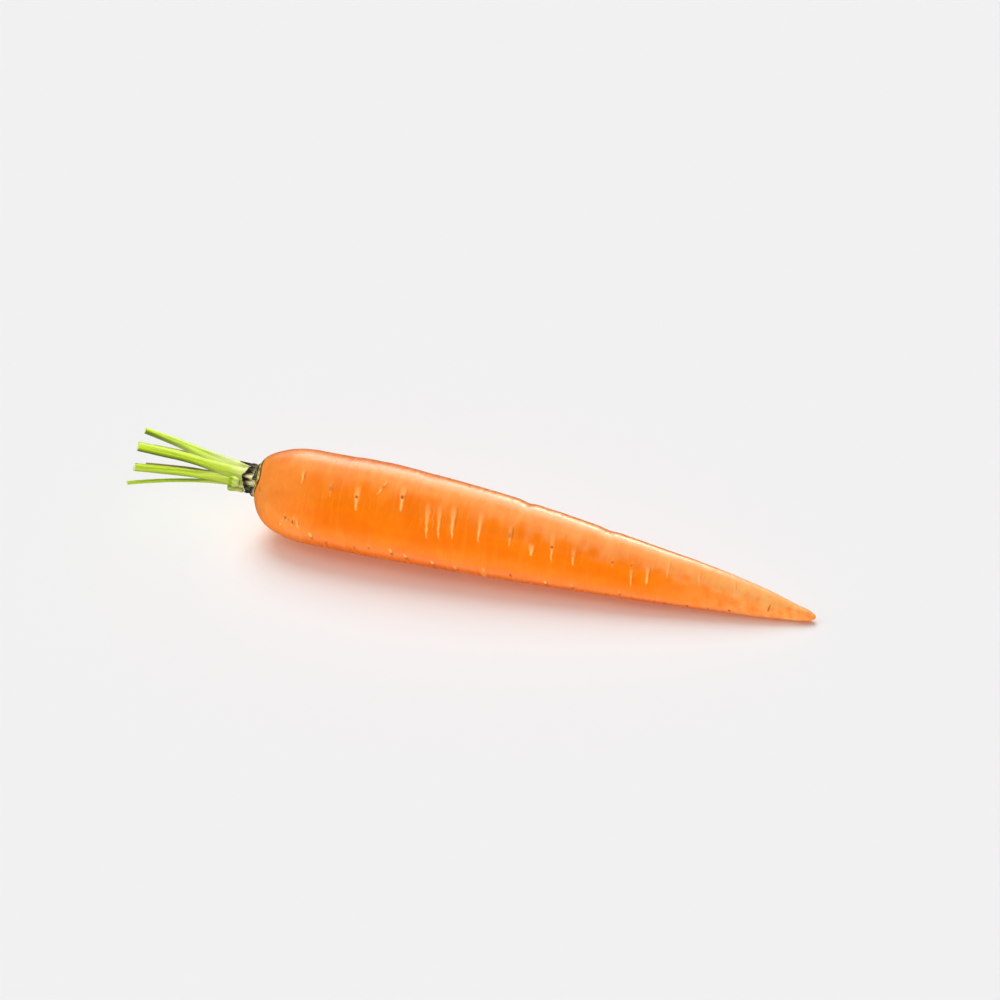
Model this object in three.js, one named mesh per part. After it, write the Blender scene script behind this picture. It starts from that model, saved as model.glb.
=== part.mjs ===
// A fresh carrot lying on its side. One tapering root, the short crown stem seated in its shoulder,
// six leaf stalks cut short, a stalk stub and a side bud beside them, and the dry scales that older
// leaves left round the collar.
// Millimetres. +X runs from the crown to the tip, +Z is up, and the root lies on z = 0.
import * as THREE from "three";

// Root: radii of the body at even steps from the shoulder to the tip, and how its ends are rounded.
// Distances along it start 2.6 mm before its rim.
const ROOT_LENGTH = 200;
const GIRTH = [16.1, 16.15, 16.45, 16.0, 15.05, 13.5, 11.85, 9.9, 7.8, 5.15, 1.9];
const SHOULDER_START = 2; // where the shoulder's curve would close, were there no seat in it
const SHOULDER_END = 22; // where the body reaches its full girth
const SHOULDER_FULLNESS = 3.5; // 2 is an ellipse, more is squarer
const TIP_ROUNDING = 5;

// Root: its bow in the horizontal plane, and how it lies on the surface.
const BOW = 3.4; // how far the crown end swings to +Y
const BOW_CENTRE = 120; // distance from the shoulder at which the root is nearest to -Y
const SHOULDER_LIFT = 0.8; // underside of the shoulder above the surface
const SHOULDER_LIFT_LENGTH = 40;
const TIP_LIFT = 0.4; // underside of the tip above the surface
const TIP_LIFT_LENGTH = 50;
const PRESS = 0.15; // flattening of the skin where it lies

// Root: the seat of the crown, which sits above and behind the middle of the shoulder.
const SEAT_BOTTOM = 3.9;
const RIM = 2.6;
const SEAT_RADIUS = 6.8;
const CROWN_OFFSET = new THREE.Vector3(0, 0.9, 2.1);
const OFFSET_FADE = 2.2; // length over which the shoulder comes back to the body's centre line

// Crown stem and its parts, in a frame that stands just outside the rim of the seat: z points out
// of the root, x to the side that the root bows to, and y up.
const CROWN_AXIS = new THREE.Vector3(-1, 0.05, 0.07).normalize();
const CROWN_BASE = 1.1; // where its frame stands on the root's centre line
const CROWN_FOOT = -2.5;
const CROWN_NECK = 4.3;
const CROWN_RADIUS = 5.2;
const CROWN_TOP = 4.6;
const GAP = 0.3; // between touching pieces

const ROOT_SIDES = 32;
const STALK_STEPS = 10;
const STALK_RING = 3.6; // radius at which the stalks leave the crown

// Each stalk: the side of the crown that it leaves from, where it was cut, its width and thickness.
const STALKS = [
  { name: "stalk_1", degrees: 100, end: [-1.5, 6.5, 43.6], width: 2.5, thickness: 2.3 },
  { name: "stalk_2", degrees: 46, end: [4.0, 3.2, 43.8], width: 3.5, thickness: 2.7 },
  { name: "stalk_3", degrees: -12, end: [7.4, -3.2, 43.5], width: 3.2, thickness: 2.6 },
  { name: "stalk_4", degrees: -60, end: [8.0, -10.1, 45.9], width: 1.8, thickness: 1.5 },
  { name: "stalk_5", degrees: -112, end: [-3.0, -9.5, 44.0], width: 2.8, thickness: 2.2 },
  { name: "stalk_6", degrees: 188, end: [-6.2, -3.3, 42.5], width: 2.6, thickness: 2.0 },
];
const STUB = {
  name: "stalk_stub",
  degrees: -74,
  ring: 5.6,
  width: 2.2,
  thickness: 1.6,
  rise: 4.8,
  lean: 0.5,
};
const BUD = { name: "side_bud", degrees: 4, ring: 6.6, radius: 1.3, height: 3.8 };

// Dry leaf scales in the seat: tall ones close round the crown's neck, short ones outside them.
const SCALE_THICKNESS = 0.6;
const TALL_SCALES = {
  prefix: "tall_scale_",
  degrees: [24, 104, 190, 285],
  sweep: 58,
  inner: CROWN_NECK + GAP,
  from: -2.1,
  to: 2.9,
};
const SHORT_SCALES = {
  prefix: "short_scale_",
  degrees: [60, 150, 240, 330],
  sweep: 66,
  inner: CROWN_NECK + SCALE_THICKNESS + 2 * GAP,
  from: -2.1,
  to: 0.2,
};

const MATERIALS = {
  root: new THREE.MeshStandardMaterial({ color: 0xf47a17, roughness: 0.45, metalness: 0 }),
  crown: new THREE.MeshStandardMaterial({ color: 0xc9c766, roughness: 0.6, metalness: 0 }),
  stalk: new THREE.MeshStandardMaterial({ color: 0xa5c93a, roughness: 0.5, metalness: 0 }),
  scale: new THREE.MeshStandardMaterial({ color: 0x2e1d12, roughness: 0.85, metalness: 0 }),
};

const { clamp, degToRad, lerp } = THREE.MathUtils;

// Radius of the body at a distance along it: a smooth curve through the even steps of GIRTH.
function girthAt(along) {
  const last = GIRTH.length - 1;
  const place = clamp(along / ROOT_LENGTH, 0, 1) * last;
  const i = Math.min(Math.floor(place), last - 1);
  const t = place - i;
  const [a, b, c, d] = [i - 1, i, i + 1, i + 2].map((k) => GIRTH[clamp(k, 0, last)]);
  return b + 0.5 * t * (c - a + t * (2 * a - 5 * b + 4 * c - d + t * (3 * (b - c) + d - a)));
}

// Outer radius of the root, with its rounded shoulder and tip.
function radiusAt(along) {
  const shoulder = clamp((along - SHOULDER_START) / (SHOULDER_END - SHOULDER_START), 0, 1);
  const tip = clamp((ROOT_LENGTH - along) / TIP_ROUNDING, 0, 1);
  const swell = Math.pow(1 - (1 - shoulder) ** 2, 1 / SHOULDER_FULLNESS);
  return girthAt(along) * swell * Math.sqrt(1 - (1 - tip) ** 2);
}

// Centre of the root's section at a distance along it.
function centreAt(along) {
  const shoulder = Math.max(0, 1 - along / SHOULDER_LIFT_LENGTH);
  const tip = Math.max(0, 1 - (ROOT_LENGTH - along) / TIP_LIFT_LENGTH);
  const lift = SHOULDER_LIFT * shoulder ** 2 + TIP_LIFT * tip ** 2;
  return new THREE.Vector3(
    along,
    BOW * ((along - BOW_CENTRE) / BOW_CENTRE) ** 2,
    girthAt(along) + lift - PRESS,
  );
}

// The root: a lathe whose sections are carried onto the bowed centre line.
function rootGeometry() {
  const outline = [
    new THREE.Vector2(0, SEAT_BOTTOM),
    new THREE.Vector2(SEAT_RADIUS * 0.6, SEAT_BOTTOM),
    new THREE.Vector2(SEAT_RADIUS, SEAT_BOTTOM),
    new THREE.Vector2(SEAT_RADIUS, (SEAT_BOTTOM + RIM) / 2),
  ];
  const shoulderSteps = 8;
  const bodySteps = 20;
  const tipSteps = 5;
  for (let i = 0; i < shoulderSteps; i++)
    outline.push(outlinePoint(lerp(RIM, SHOULDER_END, (i / shoulderSteps) ** 1.9)));
  for (let i = 0; i < bodySteps; i++)
    outline.push(outlinePoint(lerp(SHOULDER_END, ROOT_LENGTH - TIP_ROUNDING, i / bodySteps)));
  for (let i = 0; i < tipSteps; i++)
    outline.push(outlinePoint(ROOT_LENGTH - TIP_ROUNDING * (1 - i / tipSteps) ** 2));
  outline.push(new THREE.Vector2(0, ROOT_LENGTH));

  const halfSide = Math.PI / ROOT_SIDES; // a flat side faces down
  const geometry = new THREE.LatheGeometry(outline, ROOT_SIDES, halfSide);
  return mapped(geometry, (p) => {
    const along = p.y;
    const frame = rootFrame(along);
    const inSeat = Math.hypot(p.x, p.z) <= SEAT_RADIUS + 1e-6 && along <= SEAT_BOTTOM;
    const fade = inSeat ? 1 : Math.exp(-(along - RIM) / OFFSET_FADE);
    const out = centreAt(along)
      .addScaledVector(CROWN_OFFSET, fade)
      .addScaledVector(frame.side, p.x)
      .addScaledVector(frame.up, p.z);
    out.z = Math.max(out.z, 0);
    return out;
  });
}

function outlinePoint(along) {
  return new THREE.Vector2(radiusAt(along), along);
}

// Directions square to the root's centre line: side is horizontal, up is the other.
function rootFrame(along) {
  const step = 0.5;
  const tangent = centreAt(along + step).sub(centreAt(along - step)).normalize();
  const side = new THREE.Vector3().crossVectors(tangent, new THREE.Vector3(0, 0, 1)).normalize();
  return { side, up: new THREE.Vector3().crossVectors(side, tangent) };
}

// Moves every vertex of a geometry by a function of its place.
function mapped(geometry, move) {
  const position = geometry.getAttribute("position");
  const p = new THREE.Vector3();
  for (let i = 0; i < position.count; i++) {
    const q = move(p.fromBufferAttribute(position, i));
    position.setXYZ(i, q.x, q.y, q.z);
  }
  geometry.computeVertexNormals();
  return geometry;
}

// A stalk's section: round outside, with a shallow channel on the side that faces the bundle.
function stalkSection(width, thickness) {
  const half = width / 2;
  const shape = new THREE.Shape();
  shape.moveTo(half, -0.2 * thickness);
  shape.bezierCurveTo(half, 0.65 * thickness, -half, 0.65 * thickness, -half, -0.2 * thickness);
  shape.quadraticCurveTo(-0.7 * half, -0.55 * thickness, -0.4 * half, -0.4 * thickness);
  shape.lineTo(0.4 * half, -0.4 * thickness);
  shape.quadraticCurveTo(0.7 * half, -0.55 * thickness, half, -0.2 * thickness);
  return shape;
}

// A stalk: its section carried along a curve that leaves the crown upright and leans out to its cut.
function stalkGeometry({ degrees, end, width, thickness }) {
  const angle = degToRad(degrees);
  const outward = new THREE.Vector3(Math.cos(angle), Math.sin(angle), 0);
  const foot = outward.clone().multiplyScalar(STALK_RING).setZ(CROWN_TOP + GAP);
  const cut = new THREE.Vector3(...end);
  const bend = foot.clone().addScaledVector(outward, 0.8).setZ(lerp(foot.z, cut.z, 0.4));
  const path = new THREE.QuadraticBezierCurve3(foot, bend, cut);
  return sweep(path, stalkSection(width, thickness), outward, STALK_STEPS);
}

function stubGeometry({ degrees, ring, width, thickness, rise, lean }) {
  const angle = degToRad(degrees);
  const outward = new THREE.Vector3(Math.cos(angle), Math.sin(angle), 0);
  const foot = outward.clone().multiplyScalar(ring).setZ(CROWN_TOP + GAP);
  const top = foot.clone().addScaledVector(outward, lean).setZ(foot.z + rise);
  return sweep(new THREE.LineCurve3(foot, top), stalkSection(width, thickness), outward, 2);
}

// Carries a flat section along a path; its y side keeps facing outward.
function sweep(path, section, outward, steps) {
  const straight = new THREE.ExtrudeGeometry(section, {
    depth: 1,
    steps,
    curveSegments: 4,
    bevelEnabled: false,
  });
  return mapped(straight, (p) => {
    const tangent = path.getTangentAt(p.z);
    const side = new THREE.Vector3().crossVectors(outward, tangent).normalize();
    const out = new THREE.Vector3().crossVectors(tangent, side);
    return path.getPointAt(p.z).addScaledVector(side, p.x).addScaledVector(out, p.y);
  });
}

// A bud: a small rounded knob that stands on the crown's edge.
function budGeometry({ degrees, ring, radius, height }) {
  const angle = degToRad(degrees);
  const geometry = new THREE.SphereGeometry(radius, 10, 8);
  geometry.rotateX(Math.PI / 2).scale(1, 1, height / (2 * radius));
  return geometry.translate(
    ring * Math.cos(angle),
    ring * Math.sin(angle),
    CROWN_TOP + GAP + height / 2,
  );
}

// The crown stem: a neck whose foot stands in the seat of the root, and a wider, slightly domed top.
function crownGeometry() {
  const outline = [
    new THREE.Vector2(0, CROWN_FOOT),
    new THREE.Vector2(CROWN_NECK, CROWN_FOOT),
    new THREE.Vector2(CROWN_NECK, CROWN_TOP - 1.4),
    new THREE.Vector2(CROWN_RADIUS, CROWN_TOP - 0.8),
    new THREE.Vector2(CROWN_RADIUS, CROWN_TOP - 0.4),
    new THREE.Vector2(CROWN_RADIUS * 0.86, CROWN_TOP - 0.1),
    new THREE.Vector2(0, CROWN_TOP),
  ];
  return new THREE.LatheGeometry(outline, 24).rotateX(Math.PI / 2);
}

// A dry scale: a curved plate that follows the crown round for part of a turn.
function scaleGeometry(degrees, sweepDegrees, inner, from, to) {
  const start = degToRad(degrees - sweepDegrees / 2);
  const finish = degToRad(degrees + sweepDegrees / 2);
  const shape = new THREE.Shape();
  shape.absarc(0, 0, inner + SCALE_THICKNESS, start, finish, false);
  shape.absarc(0, 0, inner, finish, start, true);
  const plate = new THREE.ExtrudeGeometry(shape, {
    depth: to - from,
    curveSegments: 6,
    bevelEnabled: false,
  });
  return plate.translate(0, 0, from);
}

function addPiece(group, name, geometry, material) {
  const mesh = new THREE.Mesh(geometry, material);
  mesh.name = name;
  group.add(mesh);
}

function addScales(group, { prefix, degrees, sweep: sweepDegrees, inner, from, to }) {
  degrees.forEach((middle, i) => {
    const plate = scaleGeometry(middle, sweepDegrees, inner, from, to);
    addPiece(group, prefix + (i + 1), plate, MATERIALS.scale);
  });
}

const carrot = new THREE.Group();
addPiece(carrot, "root", rootGeometry(), MATERIALS.root);

const top = new THREE.Group();
const towardFront = new THREE.Vector3().crossVectors(new THREE.Vector3(0, 0, 1), CROWN_AXIS).normalize();
const upward = new THREE.Vector3().crossVectors(CROWN_AXIS, towardFront);
top.setRotationFromMatrix(new THREE.Matrix4().makeBasis(towardFront, upward, CROWN_AXIS));
top.position.copy(centreAt(CROWN_BASE)).add(CROWN_OFFSET);
carrot.add(top);

addPiece(top, "crown", crownGeometry(), MATERIALS.crown);
for (const stalk of STALKS) addPiece(top, stalk.name, stalkGeometry(stalk), MATERIALS.stalk);
addPiece(top, STUB.name, stubGeometry(STUB), MATERIALS.stalk);
addPiece(top, BUD.name, budGeometry(BUD), MATERIALS.stalk);
addScales(top, TALL_SCALES);
addScales(top, SHORT_SCALES);

// The origin is under the middle of the whole carrot, on the surface.
carrot.updateMatrixWorld(true);
const middle = new THREE.Box3().setFromObject(carrot, true).getCenter(new THREE.Vector3());
carrot.position.set(-middle.x, -middle.y, 0);

export default carrot;
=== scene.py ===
"""A fresh carrot with its leaf stalks cut short, lying on its side.

Sizes are in millimetres in this file. The pieces are in metres in the scene, in the frame of the
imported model: +X runs along the carrot from the cut stalks to the tip, and +Z is up.
"""

import logging
import math
from collections.abc import Sequence
from dataclasses import dataclass, replace
from enum import Enum

import bpy
import numpy as np
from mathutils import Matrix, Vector

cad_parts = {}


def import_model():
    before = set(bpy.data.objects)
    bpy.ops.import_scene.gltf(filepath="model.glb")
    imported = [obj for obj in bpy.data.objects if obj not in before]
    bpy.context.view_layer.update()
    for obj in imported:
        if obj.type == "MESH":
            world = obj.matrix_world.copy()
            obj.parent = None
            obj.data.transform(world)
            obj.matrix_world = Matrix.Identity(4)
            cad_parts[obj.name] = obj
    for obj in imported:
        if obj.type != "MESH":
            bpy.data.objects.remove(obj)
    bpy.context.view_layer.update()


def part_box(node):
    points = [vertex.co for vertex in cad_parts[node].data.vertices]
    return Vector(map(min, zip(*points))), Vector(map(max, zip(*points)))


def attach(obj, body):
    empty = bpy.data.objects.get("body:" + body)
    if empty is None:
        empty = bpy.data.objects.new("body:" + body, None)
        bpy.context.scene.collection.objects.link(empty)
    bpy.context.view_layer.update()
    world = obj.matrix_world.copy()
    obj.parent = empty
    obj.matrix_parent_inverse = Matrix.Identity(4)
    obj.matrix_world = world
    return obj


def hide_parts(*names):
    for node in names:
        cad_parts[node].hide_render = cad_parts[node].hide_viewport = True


LOG = logging.getLogger("carrot")
MM = 0.001
BODY = "root"

Pair = tuple[float, float]
Point = tuple[float, float, float]
Colour = tuple[float, float, float, float]


class Slot(Enum):
    """The material slots of the record."""

    ROOT_SKIN = "root_skin"
    CROWN_STEM = "crown_stem"
    LEAF_STALK = "leaf_stalk"
    DRY_SCALE = "dry_scale"


class Lit(Enum):
    """What a lamp lights."""

    CARROT = "carrot"
    ROOT = "root"
    COLLAR = "collar"
    FLOOR = "floor"


class Mask(Enum):
    """The values that a piece's points carry for its finish."""

    PLACE = "place_in_mark"
    KIND = "kind_of_mark"
    SIZE = "size_of_mark"
    EYE = "eye_of_mark"
    BLOOM = "bloom_and_sheen"
    RIM = "rim"
    ALONG = "along"
    CUT = "cut"
    EDGE = "edge"
    PAINTED_SHADE = "painted_shade"
    RIDGE_HIGHLIGHT = "ridge_highlight"
    GRAIN = "grain"


def colour(red: int, green: int, blue: int) -> Colour:
    """Turn a colour as a screen shows it into the linear one that a shader takes.

    Args:
        red: Its red, from 0 to 255.
        green: Its green, from 0 to 255.
        blue: Its blue, from 0 to 255.

    Returns:
        The linear colour.
    """

    def linear(level: int) -> float:
        """Undo the screen's gamma on one channel."""
        share = level / 255
        return share / 12.92 if share <= 0.04045 else ((share + 0.055) / 1.055) ** 2.4

    return (linear(red), linear(green), linear(blue), 1.0)


def smoothstep(low: float, high: float, value: np.ndarray) -> np.ndarray:
    """Rise smoothly from 0 at low to 1 at high.

    Args:
        low: Where the rise starts.
        high: Where the rise ends.
        value: The values to place on the rise.

    Returns:
        An array of 0 to 1.
    """
    share = np.clip((value - low) / (high - low), 0, 1)
    return share * share * (3 - 2 * share)


def unit(vectors: np.ndarray) -> np.ndarray:
    """Scale vectors to length one."""
    return vectors / np.linalg.norm(vectors, axis=-1, keepdims=True)


def ripple(seed: int, along: np.ndarray, turn: np.ndarray, step: float, cells: int) -> np.ndarray:
    """Make smooth seeded noise over a round surface, which closes on itself round the axis.

    Args:
        seed: The noise's seed.
        along: Distance of each point along the axis.
        turn: Angle of each point round the axis, in radians.
        step: Length of a cell along the axis.
        cells: Number of cells round the axis.

    Returns:
        Values from -1 to 1.
    """
    row = (along - along.min()) / step
    column = np.mod(turn / (2 * math.pi), 1) * cells
    low_row, low_column = np.floor(row).astype(int), np.floor(column).astype(int)
    grid = np.random.default_rng(seed).uniform(-1, 1, (low_row.max() + 2, cells))
    down, across = smoothstep(0, 1, row - low_row), smoothstep(0, 1, column - low_column)
    left, right = low_column % cells, (low_column + 1) % cells
    near = grid[low_row, left] * (1 - across) + grid[low_row, right] * across
    far = grid[low_row + 1, left] * (1 - across) + grid[low_row + 1, right] * across
    return near * (1 - down) + far * down


@dataclass(frozen=True)
class RoundPoints:
    """The points of a round blank: height up its axis, angle round it in radians, and radius."""

    along: np.ndarray
    turn: np.ndarray
    radius: np.ndarray

    def gap(self, place: float) -> np.ndarray:
        """Give the angle from a place round the axis to each point, the short way, in radians."""
        return np.angle(np.exp(1j * (self.turn - place)))

    def ripple(self, seed: int, step: float, cells: int) -> np.ndarray:
        """Make smooth noise with cells of step millimetres along and so many cells round."""
        return ripple(seed, self.along, self.turn, step, cells)


class Value:
    """A number in a material. An expression on it adds the Math nodes that work it out."""

    def __init__(self, tree: bpy.types.NodeTree, socket: bpy.types.NodeSocket) -> None:
        """Wrap an output socket."""
        self.tree = tree
        self.socket = socket

    def _math(self, operation: str, *operands: "Value | float") -> "Value":
        """Add one Math node.

        Args:
            operation: The node's operation.
            operands: Its inputs, in order.

        Returns:
            The node's result.
        """
        node = self.tree.nodes.new("ShaderNodeMath")
        node.operation = operation
        for socket, operand in zip(node.inputs, operands):
            if isinstance(operand, Value):
                self.tree.links.new(operand.socket, socket)
            else:
                socket.default_value = operand
        return Value(self.tree, node.outputs[0])

    def __add__(self, other: "Value | float") -> "Value":
        """Add."""
        return self._math("ADD", self, other)

    def __radd__(self, other: float) -> "Value":
        """Add to a number."""
        return self._math("ADD", other, self)

    def __sub__(self, other: "Value | float") -> "Value":
        """Subtract."""
        return self._math("SUBTRACT", self, other)

    def __rsub__(self, other: float) -> "Value":
        """Subtract from a number."""
        return self._math("SUBTRACT", other, self)

    def __mul__(self, other: "Value | float") -> "Value":
        """Multiply."""
        return self._math("MULTIPLY", self, other)

    def __rmul__(self, other: float) -> "Value":
        """Multiply a number."""
        return self._math("MULTIPLY", other, self)

    def __truediv__(self, other: "Value | float") -> "Value":
        """Divide."""
        return self._math("DIVIDE", self, other)

    def __abs__(self) -> "Value":
        """Drop the sign."""
        return self._math("ABSOLUTE", self)

    def clamped(self) -> "Value":
        """Keep within 0 and 1."""
        return self._math("MINIMUM", self._math("MAXIMUM", self, 0.0), 1.0)

    def rise(self, low: float, high: float) -> "Value":
        """Rise smoothly from 0 at low to 1 at high.

        Args:
            low: Where the rise starts.
            high: Where the rise ends.

        Returns:
            The value's place on the rise.
        """
        node = self.tree.nodes.new("ShaderNodeMapRange")
        node.interpolation_type = "SMOOTHSTEP"
        self.tree.links.new(self.socket, node.inputs["Value"])
        node.inputs["From Min"].default_value = low
        node.inputs["From Max"].default_value = high
        return Value(self.tree, node.outputs["Result"])


class Paint:
    """A node material with one Principled shader."""

    def __init__(self, name: str) -> None:
        """Start an empty material.

        Args:
            name: The material's name.
        """
        self.material = bpy.data.materials.new(name)
        self.material.use_nodes = True
        self.tree = self.material.node_tree
        self.tree.nodes.clear()
        self.shader = self.node("ShaderNodeBsdfPrincipled")
        output = self.node("ShaderNodeOutputMaterial")
        self.tree.links.new(self.shader.outputs["BSDF"], output.inputs["Surface"])
        self.coordinates = self.node("ShaderNodeTexCoord").outputs["Object"]

    def node(
        self,
        kind: str,
        settings: dict[str, object] | None = None,
        inputs: dict[str | int, object] | None = None,
    ) -> bpy.types.Node:
        """Add a node.

        Args:
            kind: The node's type.
            settings: Its own settings, which are set first.
            inputs: A value, a Value or a socket for each named or numbered input.

        Returns:
            The node.
        """
        made = self.tree.nodes.new(kind)
        for key, setting in (settings or {}).items():
            setattr(made, key, setting)
        for key, given in (inputs or {}).items():
            self.put(made.inputs[key], given)
        return made

    def put(self, socket: bpy.types.NodeSocket, given: object) -> None:
        """Give a socket what it takes.

        Args:
            socket: The socket.
            given: A plain value, or a Value or a socket to link.
        """
        if isinstance(given, Value):
            self.tree.links.new(given.socket, socket)
        elif isinstance(given, bpy.types.NodeSocket):
            self.tree.links.new(given, socket)
        else:
            socket.default_value = given

    def noise(self, place: bpy.types.NodeSocket, scale: float, detail: float = 2.0) -> Value:
        """Read noise at a place.

        Args:
            place: Where to read it.
            scale: How many cells of it there are in a unit.
            detail: How many finer layers it has.

        Returns:
            The noise, from 0 to 1 with a middle of 0.5.
        """
        inputs = {"Vector": place, "Scale": scale, "Detail": detail}
        return Value(self.tree, self.node("ShaderNodeTexNoise", inputs=inputs).outputs["Fac"])

    def noise_on_piece(self, cells: Point, scale: float = 1.0, detail: float = 2.0) -> Value:
        """Read noise at each place on the piece, by the piece's own coordinates.

        Args:
            cells: How many cells there are in a metre along each axis, before scale.
            scale: How many times as many there are along every axis.
            detail: How many finer layers it has.

        Returns:
            The noise, from 0 to 1 with a middle of 0.5.
        """
        inputs = {"Vector": self.coordinates, "Scale": cells}
        place = self.node("ShaderNodeMapping", inputs=inputs).outputs["Vector"]
        return self.noise(place, scale, detail)

    def carried(self, mask: Mask) -> Value:
        """Read a number that the piece's points carry."""
        made = self.node("ShaderNodeAttribute", {"attribute_name": mask.value})
        return Value(self.tree, made.outputs["Fac"])

    def carried_place(self, mask: Mask) -> bpy.types.NodeSocket:
        """Read a place that the piece's points carry."""
        return self.node("ShaderNodeAttribute", {"attribute_name": mask.value}).outputs["Vector"]

    def parts(self, place: bpy.types.NodeSocket) -> tuple[Value, Value, Value]:
        """Split a place into its three numbers."""
        split = self.node("ShaderNodeSeparateXYZ", inputs={"Vector": place})
        return tuple(Value(self.tree, output) for output in split.outputs)

    def blend(self, share: Value | float, first: object, second: object) -> bpy.types.NodeSocket:
        """Mix two colours.

        Args:
            share: How much of the second colour there is, from 0 to 1.
            first: A colour or a colour socket.
            second: A colour or a colour socket.

        Returns:
            The mixed colour.
        """
        settings = {"data_type": "RGBA", "clamp_factor": True}
        made = self.node("ShaderNodeMix", settings, {0: share, 6: first, 7: second})
        return made.outputs[2]

    def bump(self, height: Value, depth: float) -> None:
        """Raise the surface where height is more.

        Args:
            height: The height at each place.
            depth: How many millimetres a height of 1 is.
        """
        inputs = {"Strength": 1.0, "Distance": depth * MM, "Height": height}
        made = self.node("ShaderNodeBump", inputs=inputs)
        self.tree.links.new(made.outputs["Normal"], self.shader.inputs["Normal"])

    def dress(self, **given: object) -> bpy.types.Material:
        """Set the shader's sockets.

        Args:
            given: What each socket takes, with the socket's name in lower case and underscores.

        Returns:
            The finished material.
        """
        for name, what in given.items():
            self.put(self.shader.inputs[name.replace("_", " ").title().replace("Ior", "IOR")], what)
        return self.material


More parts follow.
